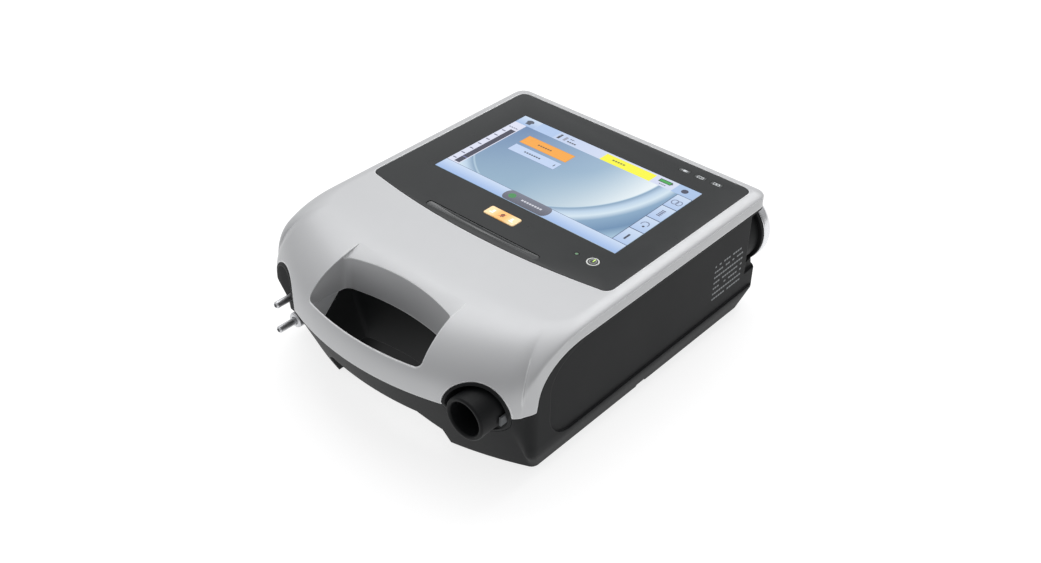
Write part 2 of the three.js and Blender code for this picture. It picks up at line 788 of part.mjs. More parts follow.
/** The cap of the air inlet: a slotted face, a flange against the socket and a skirt inside it. */
function airInletCover() {
  const trimSeat = inletRadius - 1.7;
  const face = length / 2 - 0.8;
  const cap = turnedY(inletSpread, inletHeight, [
    [0.01, face - 3],
    [trimSeat - 4, face - 3],
    [trimSeat - 4, coverFront + 2.4],
    [inletSocket - 5.5, coverFront + 2.4],
    [inletSocket - 5.5, coverFront - 4.5],
    [inletSocket - 2.8, coverFront - 4.5],
    [inletSocket - 2.8, coverFront],
    [inletRadius - 0.5, coverFront],
    [inletRadius - 0.5, coverFront + 2],
    [trimSeat, coverFront + 2.6],
    [trimSeat, face - 1],
    [trimSeat - 1.4, face],
    [0.01, face],
  ]);
  const slots = [];
  for (let i = -3; i <= 3; i++) {
    const reach = Math.sqrt(19 ** 2 - (i * 5) ** 2);
    const z = inletHeight + i * 5;
    slots.push(box(inletSpread - reach, inletSpread + reach, face - 8, face + 8, z - 1.2, z + 1.2));
  }
  const core = cylinderY(inletSpread, inletHeight, 0.5, face - 3, face, 8);
  return cut(join(cap, core), ...slots);
}

const airInletTrim = () => {
  const seat = inletRadius - 1.4;
  const back = length / 2;
  return turnedY(
    inletSpread,
    inletHeight,
    [
      [seat, coverFront + 3],
      [inletRadius - 0.6, coverFront + 3],
      [inletRadius, coverFront + 3.8],
      [inletRadius, back - 2.4],
      [inletRadius - 1, back],
      [seat, back],
    ],
    28,
  );
};

const airFilter = () =>
  cylinderY(inletSpread, inletHeight, inletSocket - 2.8, bayY + 1 + gap, coverFront - 5, sides.large);

const sockets = {
  dc: { x: -84, z: 56 },
  switch: { x: -63, z: 56 },
  usb: { x: -43, z: 56 },
  network: { x: -23, z: 55 },
  oximeter: { x: -2, z: 56 },
  alarm: { x: 17, z: 56 },
  oxygen: { x: 35, z: 56 },
};
const roundSocket = 6.5;
const usbSize = { x: 7.5, z: 4 };
const networkSize = { x: 8.5, z: 7.5 };
const switchSize = { x: 6.5, z: 10 };

const socketBox = ({ x, z }, size, grow, y0, y1) =>
  box(x - size.x - grow, x + size.x + grow, y0, y1, z - size.z - grow, z + size.z + grow);

function connectorPanel() {
  const { left, right, low, high } = panelWindow;
  const plate = box(left + gap, right - gap, panelFront, panelBack, low + gap, high - gap);
  const through = [panelFront - 5, panelBack + 5];
  const round = ({ x, z }, radius) => cylinderY(x, z, radius + gap, ...through, 16);
  return cut(
    plate,
    round(sockets.dc, 7.5),
    socketBox(sockets.switch, switchSize, gap + 0.3, ...through),
    socketBox(sockets.usb, usbSize, gap, ...through),
    socketBox(sockets.network, networkSize, gap, ...through),
    round(sockets.oximeter, roundSocket),
    round(sockets.alarm, roundSocket),
    round(sockets.oxygen, 5),
  );
}

/** A round panel socket: a sleeve through the panel with a recess and a raised middle. */
function roundPanelSocket({ x, z }, radius, pin) {
  const back = panelBack + 2.2;
  const front = panelFront - 7;
  return turnedY(
    x,
    z,
    [
      [0.01, front],
      [radius, front],
      [radius, back],
      [radius - 1.6, back],
      [radius - 1.6, front + 3],
      [pin, front + 3],
      [pin, back - 1.5],
      [0.01, back - 1.5],
    ],
    14,
  );
}

/** A square panel socket: a block with a recess and a tongue in it. */
function squarePanelSocket(place, size, depth) {
  const back = panelBack + 1.6;
  const inner = { x: size.x - 1.2, z: size.z - 1.2 };
  const tongue = { x: size.x - 2.6, z: 0.9 };
  return join(
    cut(
      socketBox(place, size, 0, panelFront - depth, back),
      socketBox(place, inner, 0, panelFront - depth + 4, back + 5),
    ),
    socketBox(place, tongue, 0, panelFront - depth + 3, back - 2),
  );
}

const switchPivot = panelFront - 1;

function powerSwitch() {
  const { x, z } = sockets.switch;
  const profile = outline([
    [switchPivot - 2, z - 3],
    [switchPivot - 2, z + 3],
    [panelBack - 0.5, z + switchSize.z],
    [panelBack + 2.6, z + switchSize.z],
    [panelBack + 0.9, z],
    [panelBack + 2.6, z - switchSize.z],
    [panelBack - 0.5, z - switchSize.z],
  ]);
  return prismX(profile, x - switchSize.x, x + switchSize.x);
}

const capHinge = { y: panelBack + 3.2, z: sockets.network.z + networkSize.z + 2.6 };

function socketCap() {
  const { x, z } = sockets.network;
  const plate = box(x - 9.5, x + 9.5, panelBack + 2.2, panelBack + 4.2, z - 9.5, capHinge.z);
  const barrel = cylinderX(capHinge.y, capHinge.z, 1.4, x - 9.5, x + 9.5, 12);
  const tab = box(x - 4, x + 4, panelBack + 2.2, panelBack + 4.8, z - 11, z - 8);
  return join(plate, barrel, tab);
}

const oxygenInlet = () =>
  turnedY(
    sockets.oxygen.x,
    sockets.oxygen.z,
    [
      [1.8, panelFront - 8],
      [5, panelFront - 8],
      [5, panelBack + 3],
      [3, panelBack + 3.5],
      [3, panelBack + 8],
      [4, panelBack + 9],
      [2.8, panelBack + 14],
      [1.8, panelBack + 14],
    ],
    12,
  );

// ---- inside ----
const blower = { x: 30, y: frontY + 107.5, radius: 34, low: 12, high: 44, spoutZ: 28 };
const plateLow = 67;
const plateHigh = 68.5;
const legPlaces = [
  [84, -30],
  [84, 30],
];

function chassisPlate() {
  const side = postX - postRadius - 1.5;
  const plate = prismZ(roundedRect(-side, side, frontY + 57.5, bayY - 20, 6), plateLow, plateHigh);
  const legs = legPlaces.map(([x, y]) =>
    mirrored((s) => box(s * x - 3, s * x + 3, y - 3, y + 3, floorTop + gap, plateLow + 1)),
  );
  const lightening = [-1, 1].map((s) => cylinderZ(s * 55, 50, 14, 0, far, sides.small));
  return cut(join(plate, ...legs), ...lightening);
}

/** A printed circuit board with parts on top and feet below, as one body. */
function board(x0, x1, y0, y1, z, feetZ, chips) {
  const thickness = 1.6;
  const feet = [
    [x0 + 5, y0 + 5],
    [x1 - 5, y0 + 5],
    [x0 + 5, y1 - 5],
    [x1 - 5, y1 - 5],
  ].map(([x, y]) => cylinderZ(x, y, 2.5, feetZ, z + 0.5, 8));
  const parts = chips.map(([x, y, w, d, h]) => box(x - w / 2, x + w / 2, y - d / 2, y + d / 2, z + 1, z + thickness + h));
  return join(box(x0, x1, y0, y1, z, z + thickness), ...feet, ...parts);
}

function mainBoard() {
  const chips = [
    [-20, -20, 22, 22, 2.5],
    [20, -30, 16, 16, 2],
    [-55, -50, 30, 12, 5],
    [55, -10, 12, 30, 4],
    [-60, 5, 10, 10, 6],
    [45, -60, 24, 8, 6],
    [0, 5, 40, 6, 5],
  ];
  return board(-84, 84, frontY + 62.5, 20, 72, plateHigh + gap, chips);
}

const batteryTop = 28;

function powerBoard() {
  const chips = [
    [-40, 60, 22, 22, 16],
    [-70, 50, 12, 30, 12],
    [-70, 82, 16, 12, 10],
    [-25, 84, 12, 12, 14],
  ];
  return board(-84, -10, 38, 94, 34, batteryTop + gap, chips);
}

function blowerHousing() {
  const { x, y, radius, low, high, spoutZ } = blower;
  const spoutY = y - 22;
  const shellWall = 2.5;
  const body = join(
    cylinderZ(x, y, radius, low, high),
    cylinderX(spoutY, spoutZ, 10, x + 10, x + 36, 20),
  );
  return cut(
    body,
    cylinderZ(x, y, radius - shellWall, low + shellWall, high - shellWall),
    cylinderX(spoutY, spoutZ, 7.5, x + 12, x + 50, 20),
    cylinderZ(x, y, 13, 0, low + 5, 20),
    cylinderZ(x, y, 3.4, high - 5, high + 5, 12),
  );
}

function impeller() {
  const { x, y, low } = blower;
  const disc = cylinderZ(x, y, 28, low + 5, low + 7);
  const hub = cylinderZ(x, y, 7, low + 5, low + 24, sides.small);
  const blades = [];
  const count = 9;
  for (let i = 0; i < count; i++) {
    const blade = new THREE.BoxGeometry(20, 1.6, 15);
    blade.rotateZ(0.6).translate(17, 3, low + 13.5).rotateZ((i / count) * Math.PI * 2).translate(x, y, 0);
    blades.push(solid(blade));
  }
  return join(disc, hub, ...blades);
}

const motorRadius = 16;

const blowerMotor = () =>
  join(
    cylinderZ(blower.x, blower.y, motorRadius, blower.high + gap, plateLow - 3, 24),
    cylinderZ(blower.x, blower.y, 2.5, blower.low + 24 + gap, blower.high + 2, 12),
  );

const muffler = { x0: 24, x1: 91, y0: bayY - 76, y1: bayY - 11.5, z0: 32, z1: 64 };

function inletMuffler() {
  const { x0, x1, y0, y1, z0, z1 } = muffler;
  const w = 2.5;
  return cut(
    prismZ(roundedRect(x0, x1, y0, y1, 6), z0, z1),
    box(x0 + w, x1 - w, y0 + w, y1 - w, z0 + w, z1 - w),
    cylinderY(inletSpread, 48, 9, y1 - 5, y1 + 5, 20),
    cylinderY(36, 48, 9, y0 - 5, y0 + 5, 16),
  );
}

const sensorFront = tubeEnd + gap;
const sensorRear = sensorFront + 17;

/** The hose from the blower's spout up to the flow sensor. */
function outletDuct() {
  const startX = blower.x + 37.5;
  const spoutY = blower.y - 22;
  const path = new THREE.CatmullRomCurve3([
    new THREE.Vector3(startX, spoutY, blower.spoutZ),
    new THREE.Vector3(startX + 8, spoutY, blower.spoutZ + 1),
    new THREE.Vector3(portSpread + 0.5, spoutY - 3, blower.spoutZ + 12),
    new THREE.Vector3(portSpread, sensorRear + 7, portHeight - 3),
    new THREE.Vector3(portSpread, sensorRear + gap, portHeight),
  ]);
  const ring = new THREE.Shape().absarc(0, 0, 8.5, 0, Math.PI * 2);
  ring.holes.push(new THREE.Path().absarc(0, 0, 7, 0, Math.PI * 2, true));
  return solid(new THREE.ExtrudeGeometry(ring, { steps: 10, curveSegments: 4, extrudePath: path }));
}

const flowSensor = () =>
  join(
    turnedY(
      portSpread,
      portHeight,
      [
        [tubeBore - 1, sensorFront],
        [tubeBore + 2, sensorFront],
        [tubeBore + 2, sensorRear],
        [tubeBore - 1, sensorRear],
      ],
      20,
    ),
    box(portSpread - 6, portSpread + 6, sensorFront + 4, sensorRear - 4, portHeight + tubeBore + 1, plateLow - 0.5),
  );

const oxygenSensor = () =>
  join(cylinderZ(-45, -72, 10, 20, 44, 20), cylinderZ(-45, -72, 6, 44, 50, sides.small));

function valveBlock() {
  const block = box(-97, -66, spigotEnd + gap, spigotEnd + 24, 22, 60);
  const caps = [30, 50].map((z) => cylinderY(-81, z, 7, spigotEnd + 20, spigotEnd + 36, 16));
  return join(block, ...caps);
}

function batteryPack() {
  const { x, front, rear } = batteryBay;
  return prismZ(roundedRect(2 - x, x - 2, front + 2, rear - 2, 4), floorTop + 0.4, batteryTop);
}

function batteryCover() {
  const { x, front, rear } = batteryBay;
  return prismZ(roundedRect(gap - x, x - gap, front + gap, rear - gap, 3), baseLift, floorTop);
}

const fanLow = floorTop + gap;
const fanHigh = fanLow + 10;

function fanFrame() {
  const { x, y, half: side } = fanPlace;
  return join(
    cut(
      prismZ(roundedRect(x - side, x + side, y - side, y + side, 3), fanLow, fanHigh),
      cylinderZ(x, y, side - 1.5, 0, far),
    ),
    box(x - side + 1, x + side - 1, y - 1.2, y + 1.2, fanHigh - 1.5, fanHigh),
  );
}

function fanRotor() {
  const { x, y, half: side } = fanPlace;
  const low = fanLow + 1;
  const high = fanHigh - 2;
  const blades = [];
  const count = 7;
  for (let i = 0; i < count; i++) {
    const blade = new THREE.BoxGeometry(side - 9, 1.2, 7);
    blade.rotateX(0.7).translate((side + 5) / 2, 0, (low + high) / 2);
    blade.rotateZ((i / count) * Math.PI * 2).translate(x, y, 0);
    blades.push(solid(blade));
  }
  return join(cylinderZ(x, y, 8, low, high, sides.small), ...blades);
}

const speaker = () =>
  join(
    cylinderZ(speakerPlace.x, speakerPlace.y, speakerPlace.radius, floorTop + gap, floorTop + 3, 24),
    cylinderZ(speakerPlace.x, speakerPlace.y, 9, floorTop + 2, floorTop + 10, sides.small),
  );

const foot = (x, y) => cylinderZ(x, y, footRadius, 0, baseLift + 2.2, sides.small);

const baseScrew = (x, y) =>
  join(
    cylinderZ(x, y, 3, baseLift + 0.2, baseLift + 1.5, 12),
    cylinderZ(x, y, 1.4, baseLift + 1, screwReach + 10, 10),
  );

// ---- materials ----
const plastic = (color, roughness = 0.55) => ({ color, roughness, metalness: 0 });
const metal = (color, roughness = 0.35) => ({ color, roughness, metalness: 1 });
const looks = {
  silver: { color: 0xc6c7c9, roughness: 0.42, metalness: 0.35 },
  dark: plastic(0x2c2d2e, 0.62),
  glass: plastic(0x343837, 0.25),
  screen: { color: 0xa9cfe6, roughness: 0.3, metalness: 0, emissive: 0x35506a },
  amber: plastic(0xf0a532, 0.4),
  pale: plastic(0xe6e8e6, 0.4),
  lamp: plastic(0x2b3130, 0.2),
  rubber: plastic(0x202122, 0.85),
  steel: metal(0xa8aaac, 0.3),
  aluminium: metal(0xb4b6b8, 0.45),
  chrome: metal(0xd6d8da, 0.12),
  board: plastic(0x1d5a35, 0.5),
  foam: plastic(0x3d4044, 0.95),
  insidePlastic: plastic(0xbfc1bd, 0.6),
  battery: plastic(0x2a3f63, 0.5),
};

// ---- the scene graph ----
const ventilator = new THREE.Group();

function place(name, look, body) {
  const mesh = new THREE.Mesh(geometryOf(body), new THREE.MeshStandardMaterial(looks[look]));
  mesh.name = name;
  ventilator.add(mesh);
}

place("top_shell", "silver", topShell());
place("lower_housing", "dark", lowerHousing());
place("bezel_glass", "glass", bezelGlass());
place("touch_display", "screen", touchDisplay());
place("lcd_module", "aluminium", lcdModule());
place("display_frame", "aluminium", displayFrame());
place("alarm_light_bar", "lamp", alarmLightBar());
place("mute_button", "amber", muteButton());
place("power_button", "glass", powerButton());
place("power_button_ring", "pale", powerButtonRing());
statusNames.forEach((name, i) => place(`status_light_${name}`, "lamp", statusLight(i)));
place("light_sensor", "lamp", lightSensor());

place("port_surround", "dark", portSurround());
place("inspiratory_port", "dark", inspiratoryPort());
place("port_seal", "rubber", portSeal());
place("alignment_key", "dark", alignmentKey());
place("circuit_adapter", "dark", circuitAdapter());
place("upper_spigot", "steel", spigot("upper"));
place("lower_spigot", "steel", spigot("lower"));
place("spigot_collar", "steel", spigotCollar());

place("air_inlet_cover", "dark", airInletCover());
place("air_inlet_trim", "chrome", airInletTrim());
place("air_filter", "foam", airFilter());
place("connector_panel", "dark", connectorPanel());
place("dc_socket", "dark", roundPanelSocket(sockets.dc, 7.5, 1.6));
place("power_switch", "pale", powerSwitch());
place("usb_socket", "steel", squarePanelSocket(sockets.usb, usbSize, 8));
place("network_socket", "steel", squarePanelSocket(sockets.network, networkSize, 10));
place("socket_cap", "rubber", socketCap());
place("oximeter_socket", "dark", roundPanelSocket(sockets.oximeter, roundSocket, 3));
place("remote_alarm_socket", "dark", roundPanelSocket(sockets.alarm, roundSocket, 2.4));
place("oxygen_inlet", "steel", oxygenInlet());

place("chassis_plate", "aluminium", chassisPlate());
place("main_board", "board", mainBoard());
place("power_board", "board", powerBoard());
place("blower_housing", "insidePlastic", blowerHousing());
place("impeller", "dark", impeller());
place("blower_motor", "steel", blowerMotor());
place("inlet_muffler", "foam", inletMuffler());
place("outlet_duct", "insidePlastic", outletDuct());
place("flow_sensor", "insidePlastic", flowSensor());
place("oxygen_sensor", "insidePlastic", oxygenSensor());
place("valve_block", "insidePlastic", valveBlock());
place("battery_pack", "battery", batteryPack());
place("battery_cover", "dark", batteryCover());
place("fan_frame", "dark", fanFrame());
place("fan_rotor", "dark", fanRotor());
place("speaker", "steel", speaker());

const corners = [
  ["front_left", -1, 0],
  ["front_right", 1, 0],
  ["rear_left", -1, 1],
  ["rear_right", 1, 1],
];
for (const [name, side, rear] of corners) {
  const [footX, footY] = footPlaces[rear];
  place(`foot_${name}`, "rubber", foot(side * footX, footY));
  place(`base_screw_${name}`, "steel", baseScrew(side * postX, rear ? rearPostY : frontPostY));
}

export default ventilator;
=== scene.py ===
# %% [markdown]
# # A portable ventilator
# The machine is a flat box that lies on its back: a silver lacquered shell on top, a dark grained
# housing below, a glass front round a touch display, and a big rounded front with a hand opening.
# The solid model is loaded first as a fixed frame. It has the sizes, the joints and the inside, but
# its curves are coarse, so the large curved pieces are made again here from the same formulas.

import json
import math

import bpy
import numpy as np
from mathutils import Matrix, Vector

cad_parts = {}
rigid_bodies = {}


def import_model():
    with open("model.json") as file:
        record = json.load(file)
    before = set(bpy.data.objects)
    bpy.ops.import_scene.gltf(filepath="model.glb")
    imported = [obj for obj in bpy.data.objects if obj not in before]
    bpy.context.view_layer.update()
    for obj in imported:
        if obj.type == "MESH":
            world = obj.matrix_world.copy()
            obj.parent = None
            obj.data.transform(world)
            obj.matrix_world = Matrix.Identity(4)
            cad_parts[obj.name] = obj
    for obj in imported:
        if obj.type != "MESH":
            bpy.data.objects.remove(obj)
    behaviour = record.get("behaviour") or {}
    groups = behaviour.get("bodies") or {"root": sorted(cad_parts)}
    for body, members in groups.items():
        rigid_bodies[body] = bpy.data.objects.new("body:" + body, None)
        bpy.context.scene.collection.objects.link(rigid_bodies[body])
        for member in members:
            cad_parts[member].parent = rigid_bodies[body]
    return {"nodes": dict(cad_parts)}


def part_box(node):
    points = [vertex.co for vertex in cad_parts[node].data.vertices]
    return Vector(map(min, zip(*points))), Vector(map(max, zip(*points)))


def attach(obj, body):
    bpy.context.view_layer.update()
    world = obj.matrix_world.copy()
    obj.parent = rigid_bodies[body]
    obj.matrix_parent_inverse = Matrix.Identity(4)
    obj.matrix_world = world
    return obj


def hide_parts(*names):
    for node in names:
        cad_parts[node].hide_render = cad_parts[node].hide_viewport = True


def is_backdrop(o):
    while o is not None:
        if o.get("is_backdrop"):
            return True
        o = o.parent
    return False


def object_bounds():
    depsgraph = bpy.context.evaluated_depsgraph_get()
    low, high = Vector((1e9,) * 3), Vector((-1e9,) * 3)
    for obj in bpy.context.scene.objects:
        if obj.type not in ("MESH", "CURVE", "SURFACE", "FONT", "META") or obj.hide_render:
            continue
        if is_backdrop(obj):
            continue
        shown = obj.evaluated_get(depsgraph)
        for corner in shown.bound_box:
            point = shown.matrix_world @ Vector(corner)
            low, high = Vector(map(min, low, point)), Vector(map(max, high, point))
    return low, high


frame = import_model()
cad_low, cad_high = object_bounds()
MM = 0.001
print("frame:", len(frame["nodes"]), "nodes", [round(v, 4) for v in cad_high - cad_low])

# %% [markdown]
# ## Meshes from arrays
# Every surface below is a grid of points worked out in whole arrays. One helper turns a grid into
# faces, another closes its first and last rows with fans or flat caps. Sizes are in millimetres
# while shapes are worked out, because the drawings of such a machine are, and become metres once.


# %% Mesh helpers
def node_box(name):
    """Lowest and highest corner of a node of the solid model, in millimetres."""
    low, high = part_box(name)
    return np.array(low) / MM, np.array(high) / MM


def make_object(name, points, faces, smooth=True):
    """A mesh object from points in millimetres and a list of faces."""
    mesh = bpy.data.meshes.new(name)
    mesh.from_pydata((np.asarray(points, float) * MM).tolist(), [], [list(map(int, f)) for f in faces])
    mesh.polygons.foreach_set("use_smooth", np.full(len(mesh.polygons), smooth))
    mesh.validate()
    made = bpy.data.objects.new(name, mesh)
    bpy.context.scene.collection.objects.link(made)
    return made


def grid_faces(rows, columns, close_rows=False):
    """Quads between neighbouring points of a grid whose columns join up, numbered row by row."""
    r = np.arange(rows if close_rows else rows - 1)[:, None]
    c = np.arange(columns)[None, :]
    after_r, after_c = (r + 1) % rows, (c + 1) % columns
    quads = [r * columns + c, r * columns + after_c, after_r * columns + after_c, after_r * columns + c]
    return np.stack(np.broadcast_arrays(*quads), -1).reshape(-1, 4)


def closed_loft(name, rings):
    """Rings of equal length stacked into a closed solid, with a flat face at each end."""
    rings = np.asarray(rings, float)
    rows, columns = rings.shape[:2]
    faces = grid_faces(rows, columns).tolist()
    faces.append(list(range(columns))[::-1])
    faces.append(list(range((rows - 1) * columns, rows * columns)))
    return outward(make_object(name, rings.reshape(-1, 3), faces))


def outward(piece):
    """Turns a closed mesh right side out: the sum of its signed tetrahedra must be positive."""
    mesh = piece.data
    mesh.calc_loop_triangles()
    at = np.zeros(len(mesh.vertices) * 3)
    mesh.vertices.foreach_get("co", at)
    at = at.reshape(-1, 3)
    corner = np.zeros(len(mesh.loop_triangles) * 3, int)
    mesh.loop_triangles.foreach_get("vertices", corner)
    a, b, c = (at[corner.reshape(-1, 3)[:, k]] for k in range(3))
    if np.einsum("ij,ij->i", a, np.cross(b, c)).sum() < 0:
        mesh.flip_normals()
    return piece


def prism(name, outline, axis, low, high):
    """An outline in the two directions across an axis, stretched along that axis."""
    outline = np.asarray(outline, float)
    order = {"x": (2, 0, 1), "y": (0, 2, 1), "z": (0, 1, 2)}[axis]
    rings = [np.insert(outline, 2, value, axis=1)[:, order] for value in (low, high)]
    return closed_loft(name, rings)


def brick(name, low, high):
    """A box between two corners."""
    x0, y0, z0 = low
    x1, y1, z1 = high
    return prism(name, [(x0, y0), (x1, y0), (x1, y1), (x0, y1)], "z", z0, z1)


def circle(centre, radius, steps=64):
    """Points of a circle about a centre."""
    turn = np.linspace(0, 2 * np.pi, steps, endpoint=False)
    return np.stack([centre[0] + radius * np.cos(turn), centre[1] + radius * np.sin(turn)], 1)


def rounded_box(x0, x1, y0, y1, radius, steps=8):
    """A rectangle whose corners are quarter circles."""
    turn = np.linspace(0, np.pi / 2, steps + 1)
    parts = []
    for k, (x, y) in enumerate([(x1, y1), (x0, y1), (x0, y0), (x1, y0)]):
        sx, sy = (1, -1, -1, 1)[k], (1, 1, -1, -1)[k]
        centre = (x - sx * radius, y - sy * radius)
        angle = turn + k * np.pi / 2
        parts.append(np.stack([centre[0] + radius * np.cos(angle), centre[1] + radius * np.sin(angle)], 1))
    return np.concatenate(parts)


def softened(profile, radius, steps=4):
    """A closed profile with each corner replaced by a quadratic curve that starts `radius` before it."""
    profile = np.asarray(profile, float)
    to_last = np.roll(profile, 1, 0) - profile
    to_next = np.roll(profile, -1, 0) - profile
    reach = lambda v: np.minimum(radius / np.linalg.norm(v, axis=1), 0.45)[:, None] * v
    start, end = profile + reach(to_last), profile + reach(to_next)
    t = np.linspace(0, 1, steps + 1)[None, :, None]
    curve = (1 - t) ** 2 * start[:, None] + 2 * t * (1 - t) * profile[:, None] + t**2 * end[:, None]
    return curve.reshape(-1, 2)


def turned(name, centre, profile, soft=0.4, steps=72):
    """A closed profile of (radius, y) pairs carried round a line along Y through (x, z)."""
    profile = softened(profile, soft)
    angle = np.linspace(0, 2 * np.pi, steps, endpoint=False)[None, :]
    radius, along = profile[:, :1], profile[:, 1:]
    x = centre[0] + radius * np.cos(angle)
    z = centre[1] + radius * np.sin(angle)
    points = np.stack([x, along + 0 * angle, z], -1)
    faces = grid_faces(len(profile), steps, close_rows=True)
    return outward(make_object(name, points.reshape(-1, 3), faces))


def carve(piece, tool, how="DIFFERENCE"):
    """Cuts one closed solid with another and keeps only the result."""
    step = piece.modifiers.new("carve", "BOOLEAN")
    step.operation, step.object, step.solver = how, tool, "MANIFOLD"
    depsgraph = bpy.context.evaluated_depsgraph_get()
    made = bpy.data.meshes.new_from_object(piece.evaluated_get(depsgraph))
    piece.modifiers.clear()
    old, piece.data = piece.data, made
    bpy.data.meshes.remove(old)
    bpy.data.meshes.remove(tool.data)
    return piece


def crisp(piece, angle=32):
    """Smooth shading that breaks at edges sharper than an angle."""
    mesh = piece.data
    mesh.polygons.foreach_set("use_smooth", np.ones(len(mesh.polygons), bool))
    mesh.set_sharp_from_angle(angle=math.radians(angle))
    return piece


# %% [markdown]
# ## The body's own surface
# Seen from above the body is straight at the rear and sides, and its front is one large arc with a
# smaller arc at each corner. Seen from the side the rim stays level and then dips over the front
# corners in a smooth curve. Between the rim and the flat top the crown is a quarter of a rounded
# curve. A mesh modelled by hand would wander from the solid model, so both use the same formulas.

# %% Sizes of the body
shell_low, shell_high = node_box("top_shell")
HALF = shell_high[0]
FRONT = shell_low[1]
REAR = shell_high[1]
TOP = shell_high[2]
BASE = node_box("lower_housing")[0][2]
GAP = 0.3
WALL = 3.0
RIM_WIDTH, RIM_DROP, BAND = 8.0, 3.0, 7.0
NOSE, SEAM, WELL = 54.0, 52.0, 66.0
FRONT_ARC, CORNER_ARC, REAR_ARC = 200.0, 22.0, 9.0
FOOT_IN, FOOT_NOSE, FOOT_TAIL, FOOT_ARC, FOOT_CORNER = 6.0, 25.5, 5.4, 237.0, 5.0
BEVEL_TOP = 18.0
BAY_WALL, BAY_FLOOR, BAY_CEILING = REAR - 15.7, 33, 80
FAR = 400
DIP_START, DIP_LENGTH = FRONT + 86.5, 54.0
BAND_START, BAND_LENGTH = FRONT + 84.5, 42.5
SIDE_END = DIP_START + 6
INNER_X = HALF - RIM_WIDTH - 15.5
print("body half width", round(HALF, 2), "front", round(FRONT, 2), "rear", round(REAR, 2))


# %% Outlines as functions of a position along the edge
def lerp(a, b, t):
    return a + (b - a) * t


def rounding(t, power):
    """Falls from 1 to 0 along a superellipse: (1 - t^p)^(1/p)."""
    return (1 - np.clip(t, 0, 1) ** power) ** (1 / power)


def rim_height(y):
    return lerp(NOSE, TOP - RIM_DROP, rounding((DIP_START - y) / DIP_LENGTH, 2.3))


def seam_height(y):
    return lerp(SEAM, TOP - RIM_DROP - BAND, rounding((BAND_START - y) / BAND_LENGTH, 2.35))


def corner_of(side, nose, arc, corner):
    """Where a corner circle of a given radius touches the side line and the front arc from inside."""
    x, centre = side - corner, nose + arc
    return {
        "x": x,
        "y": centre - math.sqrt((arc - corner) ** 2 - x**2),
        "centre": centre,
        "arc": arc,
        "corner": corner,
        "join": math.asin(x / (arc - corner)),
    }


def on_corner(place, turn):
    """Point and outward normal on a corner circle: turn 0 faces the side."""
    normal = np.stack([np.cos(turn), -np.sin(turn)], 1)
    return np.array([place["x"], place["y"]]) + place["corner"] * normal, normal


def on_front(place, angle):
    """Point and outward normal on the front arc."""
    normal = np.stack([np.sin(angle), -np.cos(angle)], 1)
    return np.array([0, place["centre"]]) + place["arc"] * normal, normal


def inner_front(x):
    """Where the flat top begins: a very flat arc across the front."""
    return FRONT + 64.5 + x**2 / 1200


